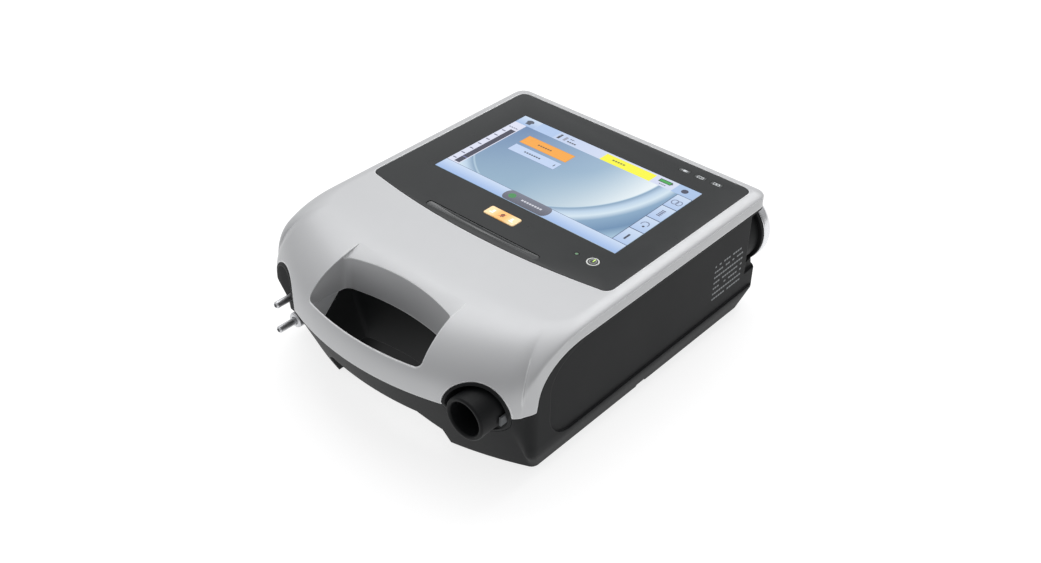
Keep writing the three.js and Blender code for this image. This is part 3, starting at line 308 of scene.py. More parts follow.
def edge_stations():
    """Points round the body from behind: outer edge, its normal, foot, inner edge, how far forward."""
    body_corner = corner_of(HALF, FRONT, FRONT_ARC, CORNER_ARC)
    foot_corner = corner_of(HALF - FOOT_IN, FRONT + FOOT_NOSE, FOOT_ARC, FOOT_CORNER)
    side, foot_rear = HALF - FOOT_IN, REAR - FOOT_TAIL
    runs = []

    def add(edge, normal, foot, inner=None, forward=0.0):
        inner = edge - RIM_WIDTH * normal if inner is None else inner
        runs.append(np.column_stack([edge, normal, foot, inner, np.zeros(len(edge)) + forward]))

    def flat(x, y, nx, ny):
        x, y = np.broadcast_arrays(np.asarray(x, float), np.asarray(y, float))
        return np.stack([x, y], 1), np.broadcast_to([float(nx), float(ny)], (len(x), 2))

    share = np.linspace(0, 1, 14, endpoint=False)
    edge, normal = flat(share * (HALF - REAR_ARC), REAR, 0, 1)
    add(edge, normal, flat(share * (side - REAR_ARC), foot_rear, 0, 1)[0])
    turn = (1 - np.linspace(0, 1, 12, endpoint=False)) * np.pi / 2
    out = np.stack([np.cos(turn), np.sin(turn)], 1)
    edge = np.array([HALF - REAR_ARC, REAR - REAR_ARC]) + REAR_ARC * out
    add(edge, out, np.array([side - REAR_ARC, foot_rear - REAR_ARC]) + REAR_ARC * out)
    share = np.linspace(0, 1, 40, endpoint=False)
    edge, normal = flat(HALF, lerp(REAR - REAR_ARC, SIDE_END, share), 1, 0)
    add(edge, normal, flat(side, lerp(foot_rear - REAR_ARC, SIDE_END, share), 1, 0)[0])

    share = np.linspace(0, 1, 96, endpoint=False)
    straight = SIDE_END - body_corner["y"]
    bend = CORNER_ARC * (np.pi / 2 - body_corner["join"])
    run = share * (straight + bend)
    turned_by = np.maximum(0, run - straight) / bend
    on_side = (run < straight)[:, None]
    line, line_normal = flat(HALF, SIDE_END - run, 1, 0)
    arc, arc_normal = on_corner(body_corner, turned_by * bend / CORNER_ARC)
    foot_line = flat(side, lerp(SIDE_END, foot_corner["y"], np.minimum(1, run / straight)), 1, 0)[0]
    foot_arc = on_corner(foot_corner, turned_by * (np.pi / 2 - foot_corner["join"]))[0]
    swing = share * np.pi / 2
    inner = np.stack(
        [
            lerp(INNER_X, HALF - RIM_WIDTH, np.cos(swing) ** 0.8),
            lerp(SIDE_END, inner_front(INNER_X), np.sin(swing) ** 0.8),
        ],
        1,
    )
    add(
        np.where(on_side, line, arc),
        np.where(on_side, line_normal, arc_normal),
        np.where(on_side, foot_line, foot_arc),
        inner,
        turned_by**2 * (3 - 2 * turned_by),
    )
    share = np.linspace(1, 0, 61)
    edge, normal = on_front(body_corner, body_corner["join"] * share)
    foot = on_front(foot_corner, foot_corner["join"] * share)[0]
    add(edge, normal, foot, np.stack([INNER_X * share, inner_front(INNER_X * share)], 1), 1.0)
    right = np.concatenate(runs)
    left = right[1:-1][::-1] * np.array([-1, 1, -1, 1, -1, 1, -1, 1, 1])
    table = np.concatenate([right, left])
    return {
        "edge": table[:, :2],
        "normal": table[:, 2:4],
        "foot": table[:, 4:6],
        "inner": table[:, 6:8],
        "forward": table[:, 8],
    }


stations = edge_stations()
print("stations round the body:", len(stations["forward"]))


# %% The body as one closed solid
def with_height(plan, z):
    return np.column_stack([plan, np.broadcast_to(z, len(plan))])


def body_rings():
    """Rings from the base to the flat top: raked walls below, a rounded crown above."""
    edge, foot, inner = stations["edge"], stations["foot"], stations["inner"]
    forward = stations["forward"]

    def lower(z):
        upright = min(1.0, max(0.0, (z - BASE) / (BEVEL_TOP - BASE)))
        share = lerp(upright, min(1.0, z / NOSE), forward)[:, None]
        return with_height(lerp(foot, edge, share), z)

    rim = rim_height(edge[:, 1])
    power = 1.5 + 0.75 * np.clip((TOP - rim - RIM_DROP) / (TOP - NOSE - RIM_DROP), 0, 1)

    def crown(share):
        angle = share * np.pi / 2
        across = (np.cos(angle) ** (2 / power))[:, None]
        return with_height(lerp(inner, edge, across), rim + (TOP - rim) * np.sin(angle) ** (2 / power))

    rings = [lower(z) for z in (BASE, 6, 12, BEVEL_TOP, 24, 30, 36)]
    first, last = rings[-1], crown(0.0)
    rings += [lerp(first, last, t) for t in np.linspace(0, 1, 10)[1:-1]]
    rings += [crown(share) for share in np.linspace(0, 1, 34)]
    return rings


def below_seam(drop):
    """Everything under the joint of shell and housing, as a solid to cut with."""
    edge = stations["edge"]
    seam = seam_height(edge[:, 1])
    inside = np.where(edge[:, 1] > 0, seam, WELL)
    rings = [
        with_height(edge * 1.5, -FAR),
        with_height(edge * 1.5, seam - drop),
        with_height(edge * 0.93, seam - drop),
        with_height(edge * 0.82, inside - drop),
        with_height(edge * 0.01, WELL - drop),
    ]
    return closed_loft("seam_tool", rings)


# %% [markdown]
# ## The hand opening
# A hand goes through the rounded front: the opening is a rounded quadrilateral whose front and rear
# sides are arcs. It narrows downwards and its sides bow a little, so it is a loft between outlines at
# several heights. Behind it a sloping lead-in lets a palm slide in.


# %% Cutting tools of the front
GRIP_HALF, GRIP_TAPER = 48.0, 0.035


def grip_outline(half_width, front_shift, rear_shift, corner=3.5):
    """The opening at one height: a rounded box in (u, v) laid between a front arc and a rear arc."""
    lip, rear_place, rear_arc = 2.2, 49.0, 159.0
    ru, rv = corner / GRIP_HALF, 2 * corner / (rear_place - lip)
    turn = np.linspace(0, np.pi / 2, 9)
    parts = []
    for k in range(4):
        su, sv = (1, -1, -1, 1)[k], (1, 1, -1, -1)[k]
        angle = turn + k * np.pi / 2
        parts.append(np.stack([su * (1 - ru) + ru * np.cos(angle), sv * (1 - rv) + rv * np.sin(angle)], 1))
        if k % 2 == 0:
            u = np.linspace(su * (1 - ru), -su * (1 - ru), 30)[1:-1]
            parts.append(np.stack([u, np.full(len(u), float(sv))], 1))
    u, v = np.concatenate(parts).T
    x = half_width * u * (1 - GRIP_TAPER * (v + v**2))
    front = FRONT + FRONT_ARC - np.sqrt((FRONT_ARC - lip) ** 2 - x**2) + front_shift
    rear = FRONT + rear_place + rear_shift - x**2 / (2 * rear_arc)
    return np.stack([x, lerp(front, rear, (v + 1) / 2)], 1)


def grip_tools():
    """The opening above the seam, and the well below it."""
    upper = [
        with_height(grip_outline(GRIP_HALF - 1, 2, -5), WELL - 0.5),
        with_height(grip_outline(GRIP_HALF, 0, -1.6), 120),
    ]
    lower = [
        with_height(grip_outline(37, 21, -1), 23),
        with_height(grip_outline(GRIP_HALF - 1, 2, -1), WELL),
    ]
    return [closed_loft("grip_upper", upper), closed_loft("grip_lower", lower)]


def arch_tool():
    """The gap under the front bar, between the two front blocks."""
    right = np.array([(50, -FAR), (50, 16), (44, 21), (37, 28)], float)
    outline = np.concatenate([right, right[::-1] * (-1, 1)])
    return prism("arch_tool", outline, "y", FRONT - FAR, FRONT + 50)


def bay_tool():
    """The bay across the tail, where the sockets are."""
    return brick("bay_tool", (-FAR, BAY_WALL, BAY_FLOOR), (FAR, FAR, BAY_CEILING))


def scoop_tool():
    """The lead-in behind the opening: a plane that falls forward, as wide as the opening's rear side."""
    edge, slope, side = FRONT + 51.5, 0.36, GRIP_HALF * (1 - 2 * GRIP_TAPER)
    at = lambda reach: (edge + reach, TOP - 0.5 + slope * reach)
    outline = [at(5), at(-14), (edge - 14, TOP + 5), (edge + 5, TOP + 5)]
    return prism("scoop_tool", outline, "x", -side, side)


glass_low, glass_high = node_box("bezel_glass")


def glass_outline(grow):
    """Plan of the front glass: square behind, a very flat arc in front, corners of six millimetres."""
    side, rear, corner = glass_high[0] + grow, glass_high[1] + grow, 6.0 + grow
    front_at = lambda x: glass_low[1] - grow + x**2 / 1020
    low = front_at(side - corner)
    box = rounded_box(-side, side, low, rear, corner)
    third = len(box) * 3 // 4
    x = np.linspace(corner - side, side - corner, 40)[1:-1]
    arc = np.stack([x, front_at(x)], 1)
    return np.concatenate([box[:third], arc, box[third:]])


port_low, port_high = node_box("port_surround")
PORT = ((port_low[0] + port_high[0]) / 2, (port_low[2] + port_high[2]) / 2)
PORT_R, ARCH_BACK = 18.8, FRONT + 55
LEG_HALF, LEG_BASE = 12.5, 17.0


def arch_cylinder(side, radius=PORT_R):
    centre = (side * PORT[0], PORT[1])
    return prism("port_arch", circle(centre, radius, 96), "y", FRONT - 10, ARCH_BACK)


# %% [markdown]
# ## The silver shell
# On the real machine this is one moulding, lacquered silver. Here the closed body is cut as a block
# is milled: everything below the seam goes, then the hand opening, the two port arches, the scoop and
# the pocket for the glass. Cutting keeps the surface exactly on its formula, where trimming a patch
# by hand would not.

# %% Silver shell
shell = closed_loft("shell_skin", body_rings())
tools = [below_seam(0), *grip_tools(), arch_cylinder(1), arch_cylinder(-1), scoop_tool()]
tools.append(prism("glass_pocket", glass_outline(GAP), "z", TOP - 13, TOP + 50))
tools.append(bay_tool())
for tool in tools:
    carve(shell, tool)
crisp(shell)
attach(shell, "case")
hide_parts("top_shell")
print("shell faces", len(shell.data.polygons))

# %% [markdown]
# ## The dark housing
# The sides, the front blocks and the base are one dark grained moulding. It is the same closed body
# with everything above the seam cut away, plus the bumper that carries the machine when it is stood
# on its tail. Each side has a shallow panel pressed into it, and the base has pockets for the feet,
# the screws and the battery cover, which all take their places from the solid model. Shell and housing
# are both left solid inside, so the vents in the base are blind slots. The solid model keeps the hollow
# and what sits in it.


# %% Cutting tools of the housing
def bumper():
    """A side outline stretched across the tail, cleared round the air inlet."""
    out, side, start = REAR + 6.3, HALF - FOOT_IN - 2, BAY_WALL - 2
    outline = [(start, 6), (out - 10, 6), (out - 3, 11), (out, 18), (out - 1.5, 26), (out - 6, 31)]
    outline += [(out - 10, BAY_FLOOR), (start, BAY_FLOOR)]
    made = prism("bumper", softened(outline, 2.5), "x", -side, side)
    inlet = node_box("air_inlet_cover")
    centre = (inlet[0][0] + inlet[1][0]) / 2, (inlet[0][2] + inlet[1][2]) / 2
    return carve(made, prism("clear", circle(centre, 28.3, 96), "y", inlet[0][1] + 3.5, FAR))


def side_panel(side):
    """The pressed panel: straight above and behind, a large curve in front, and a round lower corner."""
    low, high = 20.0, TOP - RIM_DROP - BAND - 1.5
    front = FRONT + 53.5
    t = np.linspace(0, 1, 16)[:, None]
    start, pull, end = np.array([(FRONT + 84, high), (front + 3, high - 4), (front, high - 22)])
    curve = (1 - t) ** 2 * start + 2 * t * (1 - t) * pull + t**2 * end
    turn = np.linspace(np.pi, 1.5 * np.pi, 16)
    round_end = np.array([front + 20, low + 20]) + 20 * np.stack([np.cos(turn), np.sin(turn)], 1)
    outline = np.concatenate([[(FAR, low), (FAR, high)], curve, round_end])
    edges = (HALF - 1.4, HALF + 5) if side > 0 else (-HALF - 5, 1.4 - HALF)
    return prism("panel_tool", outline, "x", *edges)


def adapter_tool():
    """The arch and the leg of the left port, where the circuit adapter slides in."""
    x = -PORT[0]
    leg = brick("leg", (x - LEG_HALF, FRONT - 10, LEG_BASE), (x + LEG_HALF, ARCH_BACK, PORT[1]))
    return carve(arch_cylinder(-1), leg, "UNION")


def pocket(name, grow, depth, round_one=True):
    """A pocket in the base round a node that sits in it."""
    low, high = node_box(name)
    centre, radius = (low + high)[:2] / 2, (high - low)[0] / 2 + grow
    outline = circle(centre, radius, 40)
    if not round_one:
        outline = rounded_box(low[0] - grow, high[0] + grow, low[1] - grow, high[1] + grow, 3)
    return prism("pocket", outline, "z", -5, BASE + depth)


def vents(name, count, half_length, half_width, pitch=6):
    """A row of slots in the base under a node."""
    x, middle, _ = sum(node_box(name)) / 2
    for k in range(count):
        y = middle + pitch * (k - count // 2)
        low, high = (x - half_length, y - half_width, -5), (x + half_length, y + half_width, BASE + WALL)
        yield brick("slot", low, high)


# %% Dark housing
housing = carve(closed_loft("housing_skin", body_rings()), bumper(), "UNION")
corners = [f"{end}_{side}" for end in ("front", "rear") for side in ("left", "right")]
tools = [*grip_tools(), arch_tool(), arch_cylinder(1), adapter_tool(), side_panel(1), side_panel(-1)]
tools += [pocket("foot_" + corner, GAP, 2.5) for corner in corners]
tools += [pocket("base_screw_" + corner, GAP, 1.8) for corner in corners]
tools += [pocket("battery_cover", GAP, WALL, round_one=False)]
tools += [*vents("fan_rotor", 5, 14, 1.4), *vents("speaker", 3, 9, 1.2)]
for side in (-1, 1):
    inner, outer = sorted((side * (HALF - FOOT_IN - 2), side * (HALF + 5)))
    tools.append(brick("notch", (inner, 3.8, -5), (outer, 13.4, BASE + 2)))
tools.append(bay_tool())
for tool in tools:
    carve(housing, tool)
carve(housing, below_seam(GAP), "INTERSECT")
cover_low, cover_high = node_box("air_inlet_cover")
INLET = ((cover_low[0] + cover_high[0]) / 2, (cover_low[2] + cover_high[2]) / 2)
boss = prism("boss", circle(INLET, 24, 96), "y", REAR - 17, REAR + 1.3)
carve(housing, boss, "UNION")
guard = [(REAR - 16.7, 32), (REAR - 4, 32), (REAR - 6, 41), (REAR - 16.7, 38)]
carve(housing, prism("guard", guard, "x", HALF - 7.5, HALF - 3.5), "UNION")
carve(housing, prism("bore", circle(INLET, 21.5, 96), "y", BAY_WALL + 1, FAR))
panel_low, panel_high = node_box("connector_panel")
carve(housing, brick("window", panel_low - (GAP, 8, GAP), panel_high + (GAP, 5, GAP)))
crisp(housing)
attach(housing, "case")
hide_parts("lower_housing")
print("housing faces", len(housing.data.polygons))

# %% [markdown]
# ## The glass front
# One dark glass plate covers the whole top, with windows for the display, the alarm light bar, the
# two keys, the light sensor and three status lights. Rings drawn in along a quarter circle give it the
# fine ground edge that catches light, which a flat cut plate would miss.


# %% Glass plate
def plate(name, outline_at, low, high, ground=0.4):
    """A plate with a rounded upper edge: the outline is drawn in as the height goes up a quarter circle."""
    turn = np.linspace(0, np.pi / 2, 5)
    rings = [with_height(outline_at(0), low)]
    rings += [
        with_height(outline_at(-ground * (1 - math.cos(t))), high - ground * (1 - math.sin(t))) for t in turn
    ]
    return closed_loft(name, rings)


def box_outline(name, corner):
    """Plan outline of a node as a rounded box, to be grown or drawn in."""
    low, high = node_box(name)

    def outline(grow):
        x0, y0 = low[:2] - grow
        x1, y1 = high[:2] + grow
        return rounded_box(x0, x1, y0, y1, max(corner + grow, 0.2), 6)

    return outline, low, high


def disc_outline(name):
    low, high = node_box(name)
    return lambda grow: circle((low + high)[:2] / 2, (high - low)[0] / 2 + grow, 64)


MUTE_FLANGE, POWER_FLANGE = 1.2, 1.4
mute_low, mute_high = node_box("mute_button")


def mute_outline(grow):
    """Plan of the mute key, drawn in from its node so that the flange below it fits."""
    x0, y0 = mute_low[:2] + MUTE_FLANGE - grow
    x1, y1 = mute_high[:2] - MUTE_FLANGE + grow
    return rounded_box(x0, x1, y0, y1, 1.5 + grow)


bezel = plate("front_glass", glass_outline, glass_low[2], glass_high[2])
display_low, display_high = node_box("touch_display")
windows = [brick("window", display_low - (GAP, GAP, 5), display_high + (GAP, GAP, 5))]
bar_outline, bar_low, bar_high = box_outline("alarm_light_bar", 2.0)
for outline in (bar_outline, mute_outline, disc_outline("power_button_ring"), disc_outline("light_sensor")):
    windows.append(prism("window", outline(GAP), "z", TOP - 10, TOP + 10))
status_names = ["status_light_mains", "status_light_external", "status_light_battery"]
for name in status_names:
    windows.append(prism("window", box_outline(name, 1.0)[0](GAP), "z", TOP - 10, TOP + 10))
for window in windows:
    carve(bezel, window)
crisp(bezel)
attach(bezel, "case")
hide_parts("bezel_glass")

# %% [markdown]
# The alarm light bar is a shallow trough in the glass: its lens dips towards the middle so that the
# light it gives can be seen from the side. The lens is a grid whose height is a parabola across.


# %% Alarm light bar
def trough(name, low, high, corner, dip):
    """A rounded bar whose top surface falls by a parabola across its width."""
    scale = np.linspace(1, 0.02, 12)
    centre = (low + high)[:2] / 2
    outline = rounded_box(low[0], high[0], low[1], high[1], corner, 8)
    rings = [with_height(outline, low[2])]
    for s in scale:
        ring = centre + (outline - centre) * s
        rings.append(with_height(ring, high[2] - dip * (1 - s**2)))
    return closed_loft(name, rings)


light_bar = crisp(trough("alarm_lens", bar_low, bar_high, 2.0, 1.6))
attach(light_bar, "case")
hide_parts("alarm_light_bar")

# %% [markdown]
# The two keys are soft moulded caps. Each is its outline drawn up to a rounded edge, with the small
# flange below that keeps it in the panel. The power key sits in a pale ring.


# %% Keys
def key_cap(name, outline_at, low, high, flange, edge, dish=0.0):
    """Flange, wall, rounded upper edge and a slightly dished top."""
    foot = low + 1.6
    rings = [with_height(outline_at(flange), low), with_height(outline_at(flange), foot)]
    rings += [with_height(outline_at(0), foot)]
    for t in np.linspace(0, np.pi / 2, 6):
        rings.append(with_height(outline_at(-edge * (1 - math.cos(t))), high - edge * (1 - math.sin(t))))
    last = rings[-1]
    centre = last[:, :2].mean(0)
    for s in np.linspace(0.85, 0.05, 6):
        rings.append(with_height(centre + (last[:, :2] - centre) * s, high - dish * (1 - s**2)))
    return crisp(closed_loft(name, rings))


mute_key = key_cap("mute_key", mute_outline, mute_low[2], mute_high[2], MUTE_FLANGE, 0.5)
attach(mute_key, "mute_button")
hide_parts("mute_button")

power_low, power_high = node_box("power_button")
power_centre = ((power_low + power_high) / 2)[:2]
power_radius = (power_high - power_low)[0] / 2 - POWER_FLANGE
power_outline = lambda grow: circle(power_centre, power_radius + grow, 64)
power_key = key_cap("power_key", power_outline, power_low[2], power_high[2], POWER_FLANGE, 0.35, dish=0.25)
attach(power_key, "power_button")
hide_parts("power_button")

ring_low, ring_high = node_box("power_button_ring")
outer, inner, under, over = (ring_high - ring_low)[0] / 2, 3.3, ring_low[2], ring_high[2]
ring_profile = softened([(outer, under), (outer, over), (inner, over), (inner, under)], 0.2)
turn = np.linspace(0, 2 * np.pi, 64, endpoint=False)[None, :]
ring_x = power_centre[0] + ring_profile[:, :1] * np.cos(turn)
ring_y = power_centre[1] + ring_profile[:, :1] * np.sin(turn)
ring_points = np.stack([ring_x, ring_y, ring_profile[:, 1:] + 0 * turn], -1).reshape(-1, 3)
power_ring = crisp(outward(make_object("power_ring", ring_points, grid_faces(len(ring_profile), 64, True))))
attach(power_ring, "case")
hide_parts("power_button_ring")

# %% [markdown]
# ## Ports and spigots
# The breathing port is a tube in a dark cup, the cup trimmed flush with the rounded front. Two thin
# metal spigots stand out of the block in the left arch. All are turned shapes: a closed profile of
# (radius, depth) pairs carried round a line, with each corner of the profile eased by a small curve.

# %% Breathing port
tube_low, tube_high = node_box("inspiratory_port")
mouth, tube_end = tube_low[1], tube_high[1]
tube_profile = [
    (11.8, mouth), (13.2, mouth), (14, mouth + 1), (14, tube_end - 15), (16.5, tube_end - 15),
    (16.5, tube_end - 12), (13, tube_end - 12), (13, tube_end), (11, tube_end), (11, mouth + 1),
]
tube = crisp(turned("breathing_tube", PORT, tube_profile, 0.5, 96), 45)
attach(tube, "case")
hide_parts("inspiratory_port")

cup_floor, cup_back = port_high[1] - 2.8, port_high[1]
cup_profile = [
    (18.5, FRONT - 5), (18.5, cup_back), (14.3, cup_back), (14.3, cup_floor), (16.8, cup_floor),
    (16.8, FRONT - 5),
]
cup = turned("port_cup", PORT, cup_profile, 0.05, 96)
carve(cup, closed_loft("body_tool", body_rings()), "INTERSECT")
crisp(cup, 40)
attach(cup, "case")
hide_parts("port_surround")

# %% Circuit adapter and its spigots
adapter_back = node_box("circuit_adapter")[1][1]
arch_x, arch_z = -PORT[0], PORT[1]
half = LEG_HALF - GAP
# Deeper than the node it stands for: beside the leg the rounded front lies behind that node's back.
block_back = adapter_back + 5
block = prism("circuit_block", circle((arch_x, arch_z), PORT_R - GAP, 96), "y", FRONT - 5, block_back)
leg = brick("leg", (arch_x - half, FRONT - 5, LEG_BASE + GAP), (arch_x + half, block_back, arch_z))
carve(block, leg, "UNION")
carve(block, closed_loft("body_tool", body_rings()), "INTERSECT")
recess = circle((arch_x, arch_z), PORT_R - 2.2, 96)
carve(block, prism("recess", recess, "y", FRONT - 8, adapter_back - 12))
for name, reach in (("upper_spigot", 5), ("lower_spigot", 5), ("spigot_collar", 0.3)):
    low, high = node_box(name)
    centre = ((low + high)[0] / 2, (low + high)[2] / 2)
    radius = (high - low)[2] / 2 + GAP
    carve(block, prism("hole", circle(centre, radius, 48), "y", FRONT - 10, high[1] + reach))
crisp(block)
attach(block, "case")
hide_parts("circuit_adapter")

for name, made_name in (("upper_spigot", "spigot_upper"), ("lower_spigot", "spigot_lower")):
    low, high = node_box(name)
    centre, tip, end = ((low + high)[0] / 2, (low + high)[2] / 2), low[1], high[1]
    profile = [
        (1.3, tip), (1.7, tip), (2.3, tip + 0.9), (2.3, end - 4), (2.4, end - 3.6), (2.4, end), (1.3, end),
    ]
    spigot = crisp(turned(made_name, centre, profile, 0.25, 48), 40)
    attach(spigot, "case")
    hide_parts(name)
collar_low, collar_high = node_box("spigot_collar")
centre = ((collar_low + collar_high)[0] / 2, (collar_low + collar_high)[2] / 2)
front, rear = collar_low[1], collar_high[1]
profile = [(2.7, front), (4.4, front), (5.2, front + 0.8), (5.2, rear), (2.7, rear)]
collar = crisp(turned("collar", centre, profile, 0.3, 64), 40)
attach(collar, "case")
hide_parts("spigot_collar")

# %% [markdown]
# ## The air inlet
# At the rear right a round cap turns out of its socket to reach the filter. Its face has slots for
# the air, and a bright trim ring runs round it. The ring is what shows past the corner of the body.

# %% Air inlet cap and trim
face, seat, skirt = cover_high[1], 25.6, cover_low[1] + 4.5
cap_profile = [
    (0.4, face - 3), (seat - 4, face - 3), (seat - 4, skirt + 2.4), (18.5, skirt + 2.4),
    (18.5, skirt - 4.5), (21.2, skirt - 4.5), (21.2, skirt), (26.8, skirt), (26.8, skirt + 2),
    (seat, skirt + 2.6), (seat, face - 1), (seat - 1.4, face), (0.4, face),
]
cap = turned("inlet_cap", INLET, cap_profile, 0.5, 96)
carve(cap, prism("core", circle(INLET, 1.0, 24), "y", face - 2.6, face - 0.4), "UNION")
for k in range(-3, 4):
    reach, z = math.sqrt(19**2 - (5 * k) ** 2), INLET[1] + 5 * k
    slot = rounded_box(INLET[0] - reach, INLET[0] + reach, z - 1.2, z + 1.2, 1.1, 4)
    carve(cap, prism("slot", slot, "y", face - 8, face + 8))
crisp(cap)
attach(cap, "inlet_cover")
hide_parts("air_inlet_cover")

trim_low, trim_high = node_box("air_inlet_trim")
radius, back_y, fore_y = (trim_high - trim_low)[0] / 2, trim_high[1], trim_low[1]
trim_profile = [
    (25.9, fore_y), (radius - 0.6, fore_y), (radius, fore_y + 0.8), (radius, back_y - 2.4),
    (radius - 1, back_y), (25.9, back_y),
]
trim = crisp(turned("inlet_ring", INLET, trim_profile, 0.6, 128), 50)
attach(trim, "inlet_cover")
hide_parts("air_inlet_trim")
print("turned pieces made")

# %% [markdown]
# ## Writing materials as arithmetic
# A finish is a small sum: a colour that drifts a little, a grain that lifts the surface, an edge painted a
# shade lighter as a painted highlight. Wiring that by hand hides the sum. The two classes below let it be
# written as ordinary Python: a wire can be added, multiplied and compared, and one method adds any other
# node.


# %% Wires and looks
class Wire:
    """One output socket of a material, with arithmetic."""

    def __init__(self, look, socket):
        self.look, self.socket = look, socket

    def math(self, operation, *others, clamp=False):
        return self.look.math(operation, self, *others, clamp=clamp)

    def __add__(self, other):
        return self.math("ADD", other)

    __radd__ = __add__

    def __mul__(self, other):
        return self.math("MULTIPLY", other)

    __rmul__ = __mul__

    def __sub__(self, other):
        return self.math("SUBTRACT", other)

    def __rsub__(self, other):
        return self.look.math("SUBTRACT", other, self)

    def __truediv__(self, other):
        return self.math("DIVIDE", other)

    def __gt__(self, other):
        return self.math("GREATER_THAN", other)

    def __lt__(self, other):
        return self.math("LESS_THAN", other)

    def near(self, centre, reach):
        """1 where the value is within reach of the centre, else 0."""
        return self.math("COMPARE", centre, reach)

    def clamped(self):
        return self.math("ADD", 0.0, clamp=True)


def tint(red, green, blue):
    """A colour given as it looks on a screen, 0 to 255, in the linear values that shaders use."""
    value = np.array([red, green, blue]) / 255
    linear = np.where(value < 0.04045, value / 12.92, ((value + 0.055) / 1.055) ** 2.4)
    return (*map(float, linear), 1.0)


class Look:
    """A material being written. Constants go straight on the shader, wires feed what varies."""

    def __init__(self, name, **constants):
        self.material = bpy.data.materials.new(name)
        self.material.use_nodes = True
        self.tree = self.material.node_tree
        self.shader = self.tree.nodes["Principled BSDF"]
        for key, value in constants.items():
            self.shader.inputs[key.replace("_", " ")].default_value = value
        self.point = self.node("ShaderNodeTexCoord", out="Object")

    def node(self, kind, settings=None, sockets=None, out=0):
        made = self.tree.nodes.new(kind)
        for key, value in (settings or {}).items():
            if key == "stops":
                ramp = made.color_ramp.elements
                while len(ramp) < len(value):
                    ramp.new(0.5)
                for element, (position, colour) in zip(ramp, value):
                    element.position, element.color = position, colour
            else:
                setattr(made, key, value)
        for key, value in (sockets or {}).items():
            if isinstance(value, Wire):
                self.tree.links.new(value.socket, made.inputs[key])
            else:
                made.inputs[key].default_value = value
        return Wire(self, made.outputs[out])

    def math(self, operation, *values, clamp=False):
        settings = {"operation": operation, "use_clamp": clamp}
        return self.node("ShaderNodeMath", settings, dict(enumerate(values)))

    def mix(self, share, one, other):
        """A colour between two colours."""
        return self.node("ShaderNodeMix", {"data_type": "RGBA"}, {0: share, 6: one, 7: other}, out=2)

    def noise(self, size, detail=2.0, rough=0.5, point=None):
        """Cloudy noise whose lumps are about `size` millimetres across, from 0 to 1."""
        sockets = {"Vector": point or self.point, "Scale": 1 / (size * MM)}
        sockets |= {"Detail": detail, "Roughness": rough}
        return self.node("ShaderNodeTexNoise", None, sockets)

    def axes(self, origin=(0, 0, 0)):
        """The three coordinates of the surface point in millimetres from an origin."""
        made = self.tree.nodes.new("ShaderNodeSeparateXYZ")
        self.tree.links.new(self.point.socket, made.inputs[0])
        return [Wire(self, made.outputs[k]) / MM - origin[k] for k in range(3)]

    def eased(self, radius=0.5):
        """The surface normal as if edges were rounded by a radius."""
        return self.node("ShaderNodeBevel", {"samples": 4}, {"Radius": radius * MM})

    def edge(self, radius=0.6):
        """1 on edges and 0 on flats: how far the eased normal leans away from the true one."""
        true = self.node("ShaderNodeNewGeometry", out="Normal")
        lean = {"operation": "DOT_PRODUCT"}
        dot = self.node("ShaderNodeVectorMath", lean, {0: self.eased(radius), 1: true}, out="Value")
        return ((1 - dot) * 12).clamped()

    def bump(self, height, strength, depth, normal=None):
        sockets = {"Height": height, "Strength": strength, "Distance": depth * MM}
        if normal is not None:
            sockets["Normal"] = normal
        return self.node("ShaderNodeBump", None, sockets)

    def feed(self, **wires):
        for key, wire in wires.items():
            self.tree.links.new(wire.socket, self.shader.inputs[key.replace("_", " ")])
        return self


def dress(piece, look):
    """Gives a piece one material."""
    piece.data.materials.clear()
    piece.data.materials.append(look.material)


# %% [markdown]
# ## Finishes
# The shell is moulded plastic under a satin silver lacquer: metal flake too fine to see one by one, a faint
# unevenness from spraying, and a thin clear coat. The colour drifts by a few hundredths only, because more
# would read as dirt. Its edges are painted almost white, a painted highlight along every rounded edge.

# %% Silver lacquer
silver = Look("silver_lacquer", Metallic=0.35, Coat_Weight=0.15, Coat_Roughness=0.35)
flake = silver.noise(0.12, 0.0)
spray = silver.noise(9.0, 3.0)
drift = silver.noise(70.0, 2.0)
shade = silver.mix((flake * 0.5 + drift * 0.5).clamped(), tint(184, 185, 187), tint(191, 192, 193))
# Painted highlight: the edges of the shell are mixed most of the way towards near white.
shade = silver.mix(silver.edge(1.3) * 0.9, shade, tint(244, 245, 246))
silver.feed(
    Base_Color=shade,
    Roughness=spray * 0.08 + flake * 0.06 + 0.4,
    Normal=silver.bump(spray * 0.7 + flake * 0.3, 0.25, 0.02, silver.eased(1.1)),
)

# %% [markdown]
# The housing is dark plastic from an etched mould. The etching leaves a fine pebble grain, and corners that
# hands and bags rub are a little smoother. Every edge is also painted a third of the way towards a mid grey:
# a painted highlight on the dark plastics, which darkens the edges of the pale ones.


# %% Grained plastics
def grained(name, dark, light, size=0.55, rough=0.5, edge=0.7):
    look = Look(name, Specular_IOR_Level=0.12)
    cells = {"feature": "SMOOTH_F1"}
    sockets = {"Vector": look.point, "Scale": 1 / (size * MM), "Smoothness": 0.6}
    pebble = look.node("ShaderNodeTexVoronoi", cells, sockets)
    drift = look.noise(45.0, 3.0)
    rubbed_and_painted_edge = look.edge(edge)
    colour = look.mix((drift * 0.8 + pebble * 0.25).clamped(), dark, light)
    # Painted highlight: edges are mixed towards a mid grey, paler than the dark plastics.
    colour = look.mix(rubbed_and_painted_edge * 0.3, colour, tint(74, 76, 78))
    return look.feed(
        Base_Color=colour,
        Roughness=drift * 0.12 + rough - rubbed_and_painted_edge * 0.08,
        Normal=look.bump(pebble, 0.5, 0.05, look.eased(edge)),
    )


